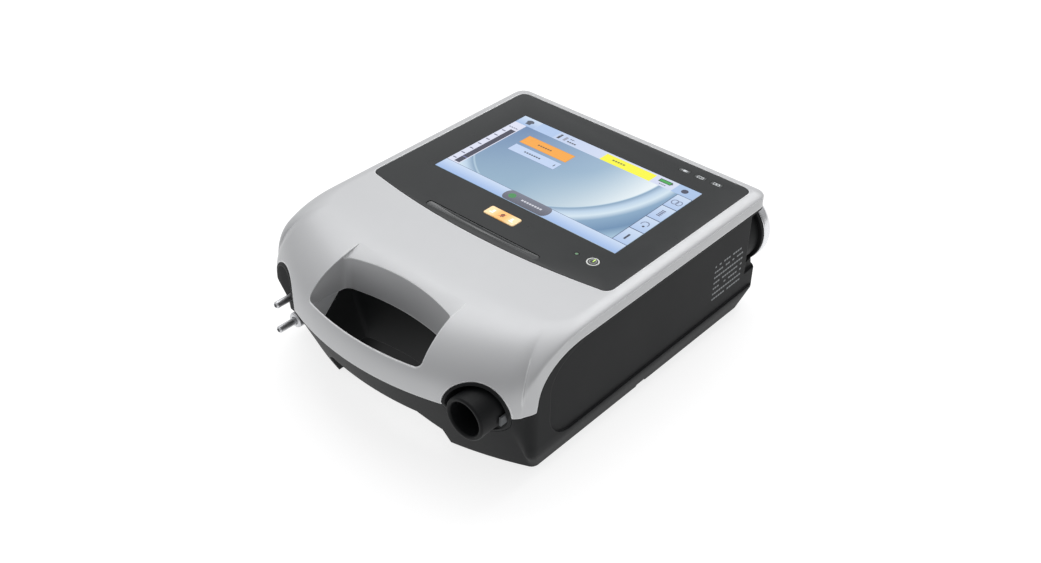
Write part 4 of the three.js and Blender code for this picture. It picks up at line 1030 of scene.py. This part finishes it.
dark = grained("dark_grain", tint(25, 26, 27), tint(31, 32, 33))
socket_dark = grained("socket_black", tint(21, 22, 23), tint(27, 28, 29), 0.3, 0.42, 0.3)
inside_pale = grained("pale_moulding", tint(188, 190, 186), tint(202, 204, 200), 1.2, 0.55, 0.4)
key_pale = grained("pale_key", tint(222, 224, 221), tint(233, 235, 232), 0.4, 0.42, 0.25)
key_grey = grained("grey_key", tint(96, 98, 100), tint(108, 110, 112), 0.4, 0.5, 0.25)
rubber = grained("rubber", tint(25, 26, 27), tint(38, 39, 40), 0.25, 0.78, 0.4)
battery_wrap = grained("battery_wrap", tint(38, 60, 98), tint(44, 68, 108), 2.5, 0.4, 0.4)

# %% [markdown]
# The front glass is dark and smooth. What it shows is what lies on it: the faint haze of fingers,
# which changes the roughness and never the colour.

# %% Dark glass
glass = Look("dark_glass", IOR=1.45, Specular_IOR_Level=0.32)
haze = glass.noise(22.0, 4.0, 0.6)
smear = glass.noise(6.0, 3.0, 0.65)
glass.feed(
    Base_Color=glass.mix(haze, tint(26, 29, 30), tint(31, 34, 35)),
    Roughness=haze * 0.12 + smear * 0.1 + 0.2,
    Normal=glass.bump(haze, 0.05, 0.01, glass.eased(0.4)),
)

# %% [markdown]
# The metals are all machined or plated parts. Turned pieces show fine rings round their axis, rolled
# sheet shows long scratches, and bright plating shows almost nothing but its surroundings.


# %% Metals
def metal(name, light, deep, rough, stretch=(1, 1, 1), size=0.5, edge=0.3):
    """Metal with streaks: noise whose coordinates are squeezed along the direction of the marks."""
    look = Look(name, Metallic=1.0)
    squeezed = look.node("ShaderNodeMapping", None, {"Vector": look.point, "Scale": stretch})
    streak = look.noise(size, 3.0, 0.6, squeezed)
    cloud = look.noise(18.0, 2.0)
    return look.feed(
        Base_Color=look.mix((streak * 0.6 + cloud * 0.4).clamped(), deep, light),
        Roughness=streak * 0.14 + cloud * 0.06 + rough,
        Normal=look.bump(streak, 0.15, 0.01, look.eased(edge)),
    )


turned_steel = metal("turned_steel", tint(226, 227, 229), tint(188, 189, 192), 0.34, (1, 9, 1), 0.6)
plain_steel = metal("plain_steel", tint(190, 191, 193), tint(165, 166, 168), 0.32, (1, 1, 1), 0.8)
sheet = metal("rolled_sheet", tint(186, 188, 190), tint(168, 170, 172), 0.4, (0.08, 1, 1), 0.5)
plated = metal("bright_plating", tint(232, 233, 235), tint(214, 215, 218), 0.16, (1, 1, 1), 6.0, 0.5)

# %% [markdown]
# Foam is all holes: two sizes of cells lift it, and the low middles of the cells are painted darker, a
# painted shade in the pores. The circuit boards are green solder mask over copper, drawn as tracks that run
# straight and turn at right angles, with rows of pale pads.

# %% Foam and boards
foam = Look("open_foam", Roughness=0.95)
cells = foam.node("ShaderNodeTexVoronoi", None, {"Vector": foam.point, "Scale": 900.0})
pores = foam.node("ShaderNodeTexVoronoi", None, {"Vector": foam.point, "Scale": 2300.0})
depth = (cells * 0.7 + pores * 0.3).clamped()
# Painted shade: the low middles of the cells are painted darker than the raised walls.
foam.feed(Base_Color=foam.mix(depth, tint(34, 36, 39), tint(86, 90, 95)), Normal=foam.bump(depth, 0.9, 0.4))

board = Look("circuit_board", Roughness=0.35, Specular_IOR_Level=0.6)
x, y, _ = board.axes()
blocks = {"Vector": board.point, "Scale": 160.0, "Randomness": 1.0}
zone = board.node("ShaderNodeTexVoronoi", {"distance": "MANHATTAN"}, blocks)
choice = board.node("ShaderNodeTexVoronoi", {"distance": "MANHATTAN"}, blocks, out="Color")
pick = board.node("ShaderNodeSeparateColor", None, {0: choice}) > 0.5
along_x = (y / 1.3).math("FRACT") < 0.42
along_y = (x / 1.3).math("FRACT") < 0.42
track = pick * along_x + (1 - pick) * along_y
pads = ((x / 5.2).math("FRACT") < 0.2) * ((y / 5.2).math("FRACT") < 0.2)
base = board.mix(track * 0.8, tint(16, 84, 46), tint(34, 120, 66))
board.feed(
    Base_Color=board.mix(pads, base, tint(206, 190, 120)),
    Normal=board.bump(track + zone * 0.1, 0.4, 0.05, board.eased(0.2)),
)

# %% [markdown]
# ## The display
# The picture on the display is drawn in the material, in millimetres from its top left corner: bars
# and discs are tests on the coordinates, laid one over another like paper. It has no words, only rows
# of short dashes where a real one has writing. The picture gives its own light.


# %% Drawing with tests
class Drawing(Look):
    """A material on which flat shapes are laid one over another."""

    def __init__(self, name, left, top, **constants):
        super().__init__(name, **constants)
        self.x, y, _ = self.axes((left, 0, 0))
        self.y = top - y
        self.paint = None

    def bar(self, x0, x1, y0, y1):
        """1 inside a rectangle given by its edges."""
        return self.x.near((x0 + x1) / 2, (x1 - x0) / 2) * self.y.near((y0 + y1) / 2, (y1 - y0) / 2)

    def away(self, x, y, wide=1.0, high=1.0):
        """Distance from a point, counted in units of wide and high."""
        dx, dy = (self.x - x) / wide, (self.y - y) / high
        return (dx * dx + dy * dy).math("SQRT")

    def disc(self, x, y, radius):
        return self.away(x, y) < radius

    def lay(self, mask, colour):
        self.paint = self.mix(mask, self.paint, colour)

    def fade(self, y, span, upper, lower):
        """A colour that changes down the drawing: one above y, another once a span is passed."""
        return self.mix(((self.y - y) / span).clamped(), upper, lower)

    def dashes(self, x0, x1, y, colour, high=1.1, pitch=2.3):
        """A row of short strokes, where a word would be."""
        stroke = ((self.x - x0) / pitch).math("FRACT") < 0.72
        self.lay(self.bar(x0, x1, y - high / 2, y + high / 2) * stroke, colour)


width, depth = (display_high - display_low)[:2]
screen = Drawing("display_picture", display_low[0], display_high[1], Roughness=0.22, Coat_Weight=0.4)
navy, ink = tint(20, 22, 60), tint(58, 70, 92)

# %% The backdrop: a blue field, a white glow and a broad swoosh
bend = screen.away(58, 8, 68, 80)
across = ((screen.x - 14) / 110).clamped()
down = (screen.y / depth).clamped()
field = screen.mix(across, tint(86, 122, 172), tint(174, 204, 224))
field = screen.mix(down * 0.75, field, tint(150, 184, 204))
glow = ((bend - 0.42) / 0.55).clamped()
glow = glow * ((screen.x - 56) / 66).clamped() * (0.95 - down * 0.45)
field = screen.mix(glow.clamped(), field, tint(246, 253, 255))
stops = [
    (0.0, tint(200, 226, 240)), (0.035, tint(128, 160, 190)), (0.13, tint(188, 212, 234)),
    (0.24, tint(214, 232, 244)), (0.36, tint(128, 164, 196)), (0.62, tint(94, 136, 176)),
    (0.78, tint(150, 184, 210)), (1.0, tint(200, 226, 242)),
]
swoosh = screen.node("ShaderNodeValToRGB", {"stops": stops}, {0: ((bend - 0.985) / 0.62).clamped()})
screen.paint = screen.mix((bend - 0.98) * 60.0 * (screen.y < 90), field, swoosh)
screen.tree.nodes[-1].clamp_factor = True

# %% Bars, buttons and symbols
sky, pale = tint(178, 203, 240), tint(216, 224, 246)
screen.lay(screen.bar(0, width, 0, 10.9), screen.mix((screen.x / 90).clamped(), sky, pale))
screen.lay(screen.bar(0, 16.4, 0, 10.9), screen.fade(0, 11, tint(206, 224, 246), tint(160, 190, 232)))
screen.lay(screen.bar(16.9, 34, 0, 10.9), tint(176, 202, 240))
screen.lay(screen.bar(6.9, 11, 5.4, 8.4) + (screen.away(9, 5, 3.0, 2.6) < 1.0) * (screen.y < 5.5), ink)
screen.lay(screen.disc(37, 3.6, 1.1) + screen.bar(36, 38, 4.9, 8.8), tint(48, 52, 66))
screen.lay(screen.bar(41, 43.2, 3.2, 8.4), tint(150, 156, 176))
screen.dashes(45, 48.5, 4.0, ink, 1.0, 1.6)
screen.dashes(45, 52.5, 7.6, tint(48, 52, 66), 1.5, 2.0)
screen.lay(screen.bar(75.9, 117.6, 1.7, 10.9), tint(255, 252, 10))
screen.dashes(83.5, 94, 6.0, tint(112, 108, 20), 1.6, 2.2)
screen.lay(screen.bar(121.6, 131.4, 2.3, 6.3) + screen.bar(131.4, 132.2, 3.5, 5.1), tint(34, 60, 44))
screen.lay(screen.bar(122.3, 130.7, 3.0, 5.6), tint(40, 168, 60))
screen.dashes(124, 129.2, 8.4, ink, 0.9, 1.4)
screen.lay(screen.bar(135.3, width, 0, 10.9), tint(170, 198, 236))
screen.lay(screen.disc(142.8, 5.6, 2.5), tint(44, 54, 84))
screen.lay(screen.bar(0, 10.6, 10.9, 80.2), tint(224, 228, 247))
screen.lay(screen.bar(5.3, 9.8, 21.5, 78.6), navy)
tick = ((screen.y - 25.4) / 8.2).math("FRACT") < 0.13
screen.lay(screen.bar(1.0, 4.2, 24, 78) * tick, tint(86, 90, 120))
screen.dashes(1.2, 9.4, 18.6, tint(86, 90, 120), 1.1, 2.0)
screen.lay(screen.bar(5.3, 9.8, 70.2, 70.9), tint(120, 128, 180))
screen.lay(screen.bar(21.0, 62.2, 19.4, 30.5), tint(214, 138, 20))
screen.lay(screen.bar(21.4, 61.8, 19.8, 30.1), tint(253, 166, 24))
screen.dashes(33.5, 46, 25.0, tint(120, 78, 20), 1.5, 2.1)
screen.lay(screen.bar(21.0, 62.2, 33.3, 43.1), tint(126, 150, 190))
screen.lay(screen.bar(21.4, 61.8, 33.7, 42.7), tint(194, 214, 246))
screen.dashes(32.5, 47, 38.2, ink, 1.5, 2.1)
screen.lay(screen.bar(58.6, 59.4, 37.0, 39.6), ink)
screen.lay(screen.bar(140.9, width, 10.9, 80.2), tint(52, 74, 112))
for low, high in ((11.4, 27.7), (28.4, 45.1), (45.8, 62.4), (63.1, 79.7)):
    screen.lay(screen.bar(141.4, width, low, high), screen.fade(low, 16, tint(204, 222, 246), sky))
loop = screen.away(145.4, 20, 2.2, 2.6).near(1.0, 0.16) + screen.away(148.6, 20, 1.9, 2.6).near(1.0, 0.16)
screen.lay(loop.clamped(), tint(112, 126, 158))
lines = ((screen.y - 33) / 1.6).math("FRACT") < 0.6
screen.lay(screen.bar(145.2, 148.2, 33, 40.4) * lines, tint(84, 92, 124))
screen.lay(screen.away(146.8, 54, 2.6, 3.0).near(1.0, 0.14) * (screen.y < 55), tint(112, 126, 158))
screen.lay(screen.disc(147.4, 56.5, 0.9) + screen.bar(146, 147.5, 69, 75.4), tint(36, 44, 70))
foot_bar = screen.fade(80, 10, tint(206, 224, 248), tint(160, 190, 236))
screen.lay(screen.bar(0, width, 80.1, depth), foot_bar)
screen.lay(screen.bar(0, width, 79.9, 80.3), tint(90, 112, 150))
pill = screen.bar(61.5, 91, 79.6, 91.2) + screen.away(61.5, 85.4, 4.2, 5.8).math("LESS_THAN", 1.0)
pill = (pill + screen.away(91, 85.4, 4.2, 5.8).math("LESS_THAN", 1.0)).clamped()
screen.lay(pill, screen.fade(80, 11, tint(112, 116, 134), tint(76, 80, 98)))
screen.lay(screen.disc(63.6, 85.2, 2.7), tint(44, 140, 66))
screen.dashes(71.5, 88.8, 85.2, tint(214, 216, 226), 1.6, 2.2)
screen.feed(Base_Color=screen.mix(0.75, screen.paint, tint(0, 0, 0)), Emission_Color=screen.paint)
screen.shader.inputs["Emission Strength"].default_value = 0.67
dress(frame["nodes"]["touch_display"], screen)
print("display nodes", len(screen.tree.nodes))

# %% [markdown]
# ## Lamps, keys and printed symbols
# The lens of the alarm bar is smoked, so it reads dark. Its ribs are painted paler, a painted highlight for
# the streak where its trough catches the light. The status lights are dark windows with thin pale symbols: a
# plug, a box and a battery.

# %% Alarm lens and light sensor
lens = Look("smoked_lens", Coat_Weight=0.3, Coat_Roughness=0.12, IOR=1.48)
x, _, _ = lens.axes()
ribs = (x / 1.9).math("FRACT").near(0.5, 0.12)
murk = lens.noise(12.0, 2.0)
# Painted highlight: the ribs are mixed paler, beside a faint random cloud in the smoke.
lens.feed(
    Base_Color=lens.mix(ribs * 0.35 + murk * 0.3, tint(30, 33, 34), tint(62, 65, 68)),
    Roughness=murk * 0.1 + 0.16,
    Normal=lens.bump(ribs, 0.2, 0.1, lens.eased(0.5)),
)
dress(light_bar, lens)

spot = Look("sensor_window", Coat_Weight=0.5)
x, y, _ = spot.axes(tuple(sum(node_box("light_sensor")) / 2))
from_middle = (x * x + y * y).math("SQRT")
glint = spot.noise(0.8, 1.0)
spot.feed(
    Base_Color=spot.mix((from_middle < 0.9) * 0.9, tint(38, 44, 40), tint(96, 150, 104)),
    Roughness=glint * 0.1 + 0.15,
)
dress(frame["nodes"]["light_sensor"], spot)


# %% Status lights
def status_light(name, symbol):
    """A dark window with a pale symbol drawn round its middle."""
    low, high = node_box(name)
    centre = (low + high) / 2
    drawing = Drawing(name + "_window", centre[0], centre[1], Roughness=0.22, Coat_Weight=0.3)
    murk = drawing.noise(5.0, 2.0)
    drawing.paint = drawing.mix(murk, tint(47, 51, 52), tint(53, 57, 58))
    pale = tint(206, 210, 212)
    symbol(drawing, pale)
    drawing.feed(Base_Color=drawing.paint, Roughness=murk * 0.1 + 0.2)
    dress(frame["nodes"][name], drawing)


def plug(drawing, pale):
    drawing.lay(drawing.bar(-0.9, 1.3, -1.1, 1.1), pale)
    drawing.lay(drawing.bar(1.3, 2.5, -0.8, -0.3) + drawing.bar(1.3, 2.5, 0.3, 0.8), pale)
    drawing.lay(drawing.bar(-2.6, -0.9, -0.25, 0.25), pale)


def supply_box(drawing, pale):
    frame_line = drawing.bar(-2.4, 2.4, -1.4, 1.4) - drawing.bar(-2.0, 2.0, -1.0, 1.0)
    drawing.lay(frame_line.clamped(), pale)
    drawing.lay(drawing.bar(-1.4, -0.5, -0.2, 0.2) + drawing.bar(0.5, 1.4, -0.2, 0.2), pale)
    drawing.lay(drawing.bar(0.75, 1.15, -0.6, 0.6), pale)


def battery_sign(drawing, pale):
    frame_line = drawing.bar(-2.4, 2.2, -1.3, 1.3) - drawing.bar(-2.0, 1.8, -0.9, 0.9)
    drawing.lay(frame_line.clamped(), pale)
    drawing.lay(drawing.bar(2.2, 2.7, -0.5, 0.5), pale)
    drawing.lay(drawing.disc(-0.1, 0, 0.6), pale)


for name, symbol in zip(status_names, (plug, supply_box, battery_sign)):
    status_light(name, symbol)

# %% [markdown]
# The mute key glows softly: amber with paler ends, and a struck-out bell in its middle. The power key
# is black glass with one green bar of light. Both symbols are drawn in the same way as the display.

# %% Mute key
mute_centre = (mute_low + mute_high) / 2
mute = Drawing("mute_key_finish", mute_centre[0], mute_centre[1], Coat_Weight=0.2)
grain = mute.noise(0.4, 2.0)
ends = ((mute.x.math("ABSOLUTE") - 3.2) / 5.5).clamped()
mute.paint = mute.mix(ends, tint(243, 182, 104), tint(247, 216, 166))
mute.paint = mute.mix(grain * 0.15, mute.paint, tint(226, 160, 84))
brown = tint(110, 66, 20)
bell = (mute.away(0, -0.4, 1.5, 1.7) < 1.0) * (mute.y < 0.9) + mute.bar(-1.9, 1.9, 0.9, 1.3)
mute.lay((bell + mute.disc(0, 1.75, 0.45)).clamped(), brown)
flank = mute.x.math("ABSOLUTE")
lamp_sign = flank.near(7.6, 0.9) * mute.y.near(-0.6, 1.1) + flank.near(8.1, 1.6) * mute.y.near(1.5, 0.5)
mute.lay(lamp_sign.clamped(), tint(255, 252, 244))
mute.lay((mute.x + mute.y).near(0.0, 0.28) * mute.disc(0, 0.2, 2.9), tint(206, 48, 30))
mute.feed(
    Base_Color=mute.paint,
    Emission_Color=mute.paint,
    Roughness=grain * 0.1 + 0.35,
    Normal=mute.bump(grain, 0.2, 0.02, mute.eased(0.4)),
)
mute.shader.inputs["Emission Strength"].default_value = 0.22
dress(mute_key, mute)

# %% Power key
power = Drawing("power_key_finish", power_centre[0], power_centre[1], Coat_Weight=0.6, Roughness=0.2)
grain = power.noise(3.0, 2.0)
power.paint = power.mix(grain, tint(28, 30, 30), tint(36, 38, 38))
arc = power.away(0, 0).near(2.1, 0.2) * (1 - power.bar(-0.9, 0.9, -3, 0))
power.lay(arc.clamped(), tint(150, 156, 150))
green = power.bar(-0.3, 0.3, -2.6, 0.2)
power.lay(green, tint(186, 226, 66))
light = power.mix(green, tint(0, 0, 0), tint(176, 222, 60))
power.feed(Base_Color=power.paint, Emission_Color=light, Roughness=grain * 0.1 + 0.14)
power.shader.inputs["Emission Strength"].default_value = 0.8
dress(power_key, power)

# %% [markdown]
# ## Printing on the housing
# The right side has a block of printed data. Here it is rows of short pale strokes with no letters in
# them, mixed into the grained plastic only where the surface faces that way.

# %% Printed block on the right side
print_look = grained("dark_grain_printed", tint(25, 26, 27), tint(31, 32, 33))
x, y, z = print_look.axes()
plane = (x > HALF - 2.2) * (x < HALF - 0.8)
stroke_pitch, row_pitch, first_row = 2.6, 4.4, 31.5
along, up = y / stroke_pitch, (z - first_row) / row_pitch
cell = print_look.node("ShaderNodeCombineXYZ", None, {0: along.math("FLOOR"), 1: up.math("FLOOR")})
seed = print_look.node("ShaderNodeTexWhiteNoise", {"noise_dimensions": "2D"}, {"Vector": cell})
rows = up.math("FRACT") < 0.3
strokes = rows * (along.math("FRACT") < 0.78) * (seed > 0.22)
block_area = y.near(92.5, 16.5) * z.near(46.5, 15.0)
ink_share = plane * strokes * block_area * 0.85
base = print_look.shader.inputs["Base Color"].links[0].from_socket
print_look.feed(Base_Color=print_look.mix(ink_share, Wire(print_look, base), tint(150, 153, 155)))

# %% [markdown]
# ## Dressing every piece
# One table says which finish each piece wears. The pieces carried over from the solid model keep their
# meshes: a weld in the modifier stack joins their loose faces and a split keeps their corners, so that
# curved walls shade smoothly.

# %% Dress the new pieces
worn_by = {
    silver: [shell],
    print_look: [housing],
    glass: [bezel],
    key_pale: [power_ring],
    dark: [cap, cup, block],
    socket_dark: [tube],
    turned_steel: [bpy.data.objects["spigot_upper"], bpy.data.objects["spigot_lower"], collar],
    plated: [trim],
}
for look, pieces in worn_by.items():
    for piece in pieces:
        dress(piece, look)

# %% Dress the carried nodes
carried = {
    dark: ["battery_cover", "connector_panel"],
    socket_dark: [
        "dc_socket", "oximeter_socket", "remote_alarm_socket", "impeller", "fan_frame", "fan_rotor",
    ],
    rubber: ["port_seal", "socket_cap", *("foot_" + corner for corner in corners)],
    key_pale: ["power_switch"],
    key_grey: ["alignment_key"],
    plain_steel: [
        "usb_socket", "network_socket", "oxygen_inlet", "speaker",
        *("base_screw_" + corner for corner in corners),
    ],
    turned_steel: ["blower_motor"],
    sheet: ["lcd_module", "display_frame", "chassis_plate"],
    inside_pale: ["blower_housing", "outlet_duct", "flow_sensor", "oxygen_sensor", "valve_block"],
    foam: ["air_filter", "inlet_muffler"],
    board: ["main_board", "power_board"],
    battery_wrap: ["battery_pack"],
}
for look, names in carried.items():
    for name in names:
        dress(frame["nodes"][name], look)


def smoothed(piece, angle=35):
    """Smooth shading on a mesh of loose triangles, by modifiers only."""
    mesh = piece.data
    if "custom_normal" in mesh.attributes:
        mesh.attributes.remove(mesh.attributes["custom_normal"])
    mesh.polygons.foreach_set("use_smooth", np.ones(len(mesh.polygons), bool))
    weld = piece.modifiers.new("weld", "WELD")
    weld.merge_threshold = 1e-5
    split = piece.modifiers.new("split", "EDGE_SPLIT")
    split.split_angle = math.radians(angle)


shown = [node for node in frame["nodes"].values() if not node.hide_render]
for node in shown:
    smoothed(node)
print("carried nodes:", len(shown), "without a finish:", [n.name for n in shown if not n.data.materials])

# %% [markdown]
# ## Floor, light and camera
# The machine stands on a pale floor in a bright, even room. The room is brightest above and to the
# left, a large lamp there gives the soft shadow, and one behind draws the light along the sloping rim.

# %% Floor and light
floor = brick("floor", (-4000, -4000, -20), (4000, 4000, 0))
floor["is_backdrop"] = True
paper = Look("pale_floor", Roughness=0.9, Specular_IOR_Level=0.1)
mottle = paper.noise(400.0, 2.0)
pale_paper = paper.mix(mottle, tint(158, 158, 158), tint(162, 162, 162))
glow = paper.mix(mottle, tint(250, 250, 250), tint(253, 253, 253))
paper.feed(Base_Color=pale_paper, Emission_Color=glow)
paper.shader.inputs["Emission Strength"].default_value = 0.8
dress(floor, paper)

world = bpy.data.worlds.new("room")
bpy.context.scene.world = world
world.use_nodes = True
tree = world.node_tree
direction = tree.nodes.new("ShaderNodeTexCoord")
towards = tree.nodes.new("ShaderNodeVectorMath")
towards.operation = "DOT_PRODUCT"
towards.inputs[1].default_value = Vector((-0.5, 0.35, 0.8)).normalized()
halved = tree.nodes.new("ShaderNodeMapRange")
halved.inputs["From Min"].default_value = -1
ramp = tree.nodes.new("ShaderNodeValToRGB")
background = tree.nodes["Background"]
tree.links.new(direction.outputs["Generated"], towards.inputs[0])
tree.links.new(towards.outputs["Value"], halved.inputs["Value"])
tree.links.new(halved.outputs[0], ramp.inputs[0])
tree.links.new(ramp.outputs[0], background.inputs["Color"])
shades = [(0.0, 0.2), (0.5, 0.5), (0.75, 0.85), (1.0, 1.15)]
elements = ramp.color_ramp.elements
while len(elements) < len(shades):
    elements.new(0.5)
for element, (place, value) in zip(elements, shades):
    element.position, element.color = place, (value, value, value * 1.01, 1)
background.inputs["Strength"].default_value = 0.75


def soft_lamp(name, place, target, size, power):
    """A square lamp that faces a point."""
    data = bpy.data.lights.new(name, "AREA")
    data.size, data.energy = size, power
    lamp = bpy.data.objects.new(name, data)
    bpy.context.scene.collection.objects.link(lamp)
    lamp.location = place
    lamp.rotation_euler = (Vector(place) - Vector(target)).to_track_quat("Z", "Y").to_euler()
    return lamp


soft_lamp("over_left", (-0.7, 0.35, 1.3), (0, 0, 0.05), 0.9, 6)
soft_lamp("behind", (0.05, 0.85, 1.1), (0.05, 0, 0.05), 0.6, 5)

# %% Camera
view_azimuth, view_height, roll = (math.radians(v) for v in (40.92, 36.26, 1.009))
back = Vector(
    (
        math.sin(view_azimuth) * math.cos(view_height),
        -math.cos(view_azimuth) * math.cos(view_height),
        math.sin(view_height),
    )
)
level = Vector((math.cos(view_azimuth), math.sin(view_azimuth), 0))
above = back.cross(level)
right = level * math.cos(roll) + above * math.sin(roll)
upward = above * math.cos(roll) - level * math.sin(roll)
place = Vector((0.01606, -0.01156, 0.050)) + back * 0.819
camera_data = bpy.data.cameras.new("camera")
camera_data.sensor_width, camera_data.lens = 36, 44.08
camera = bpy.data.objects.new("camera", camera_data)
camera.matrix_world = Matrix([[right[k], upward[k], back[k], place[k]] for k in range(3)] + [[0, 0, 0, 1]])
bpy.context.scene.collection.objects.link(camera)
bpy.context.scene.camera = camera
bpy.context.scene.view_settings.view_transform = "Standard"

# %% Sizes and finish
low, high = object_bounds()
{"cad": [list(cad_low), list(cad_high)], "visual": [list(low), list(high)]}
print("grown by", [round(v / MM, 3) for v in (high - low) - (cad_high - cad_low)], "mm")
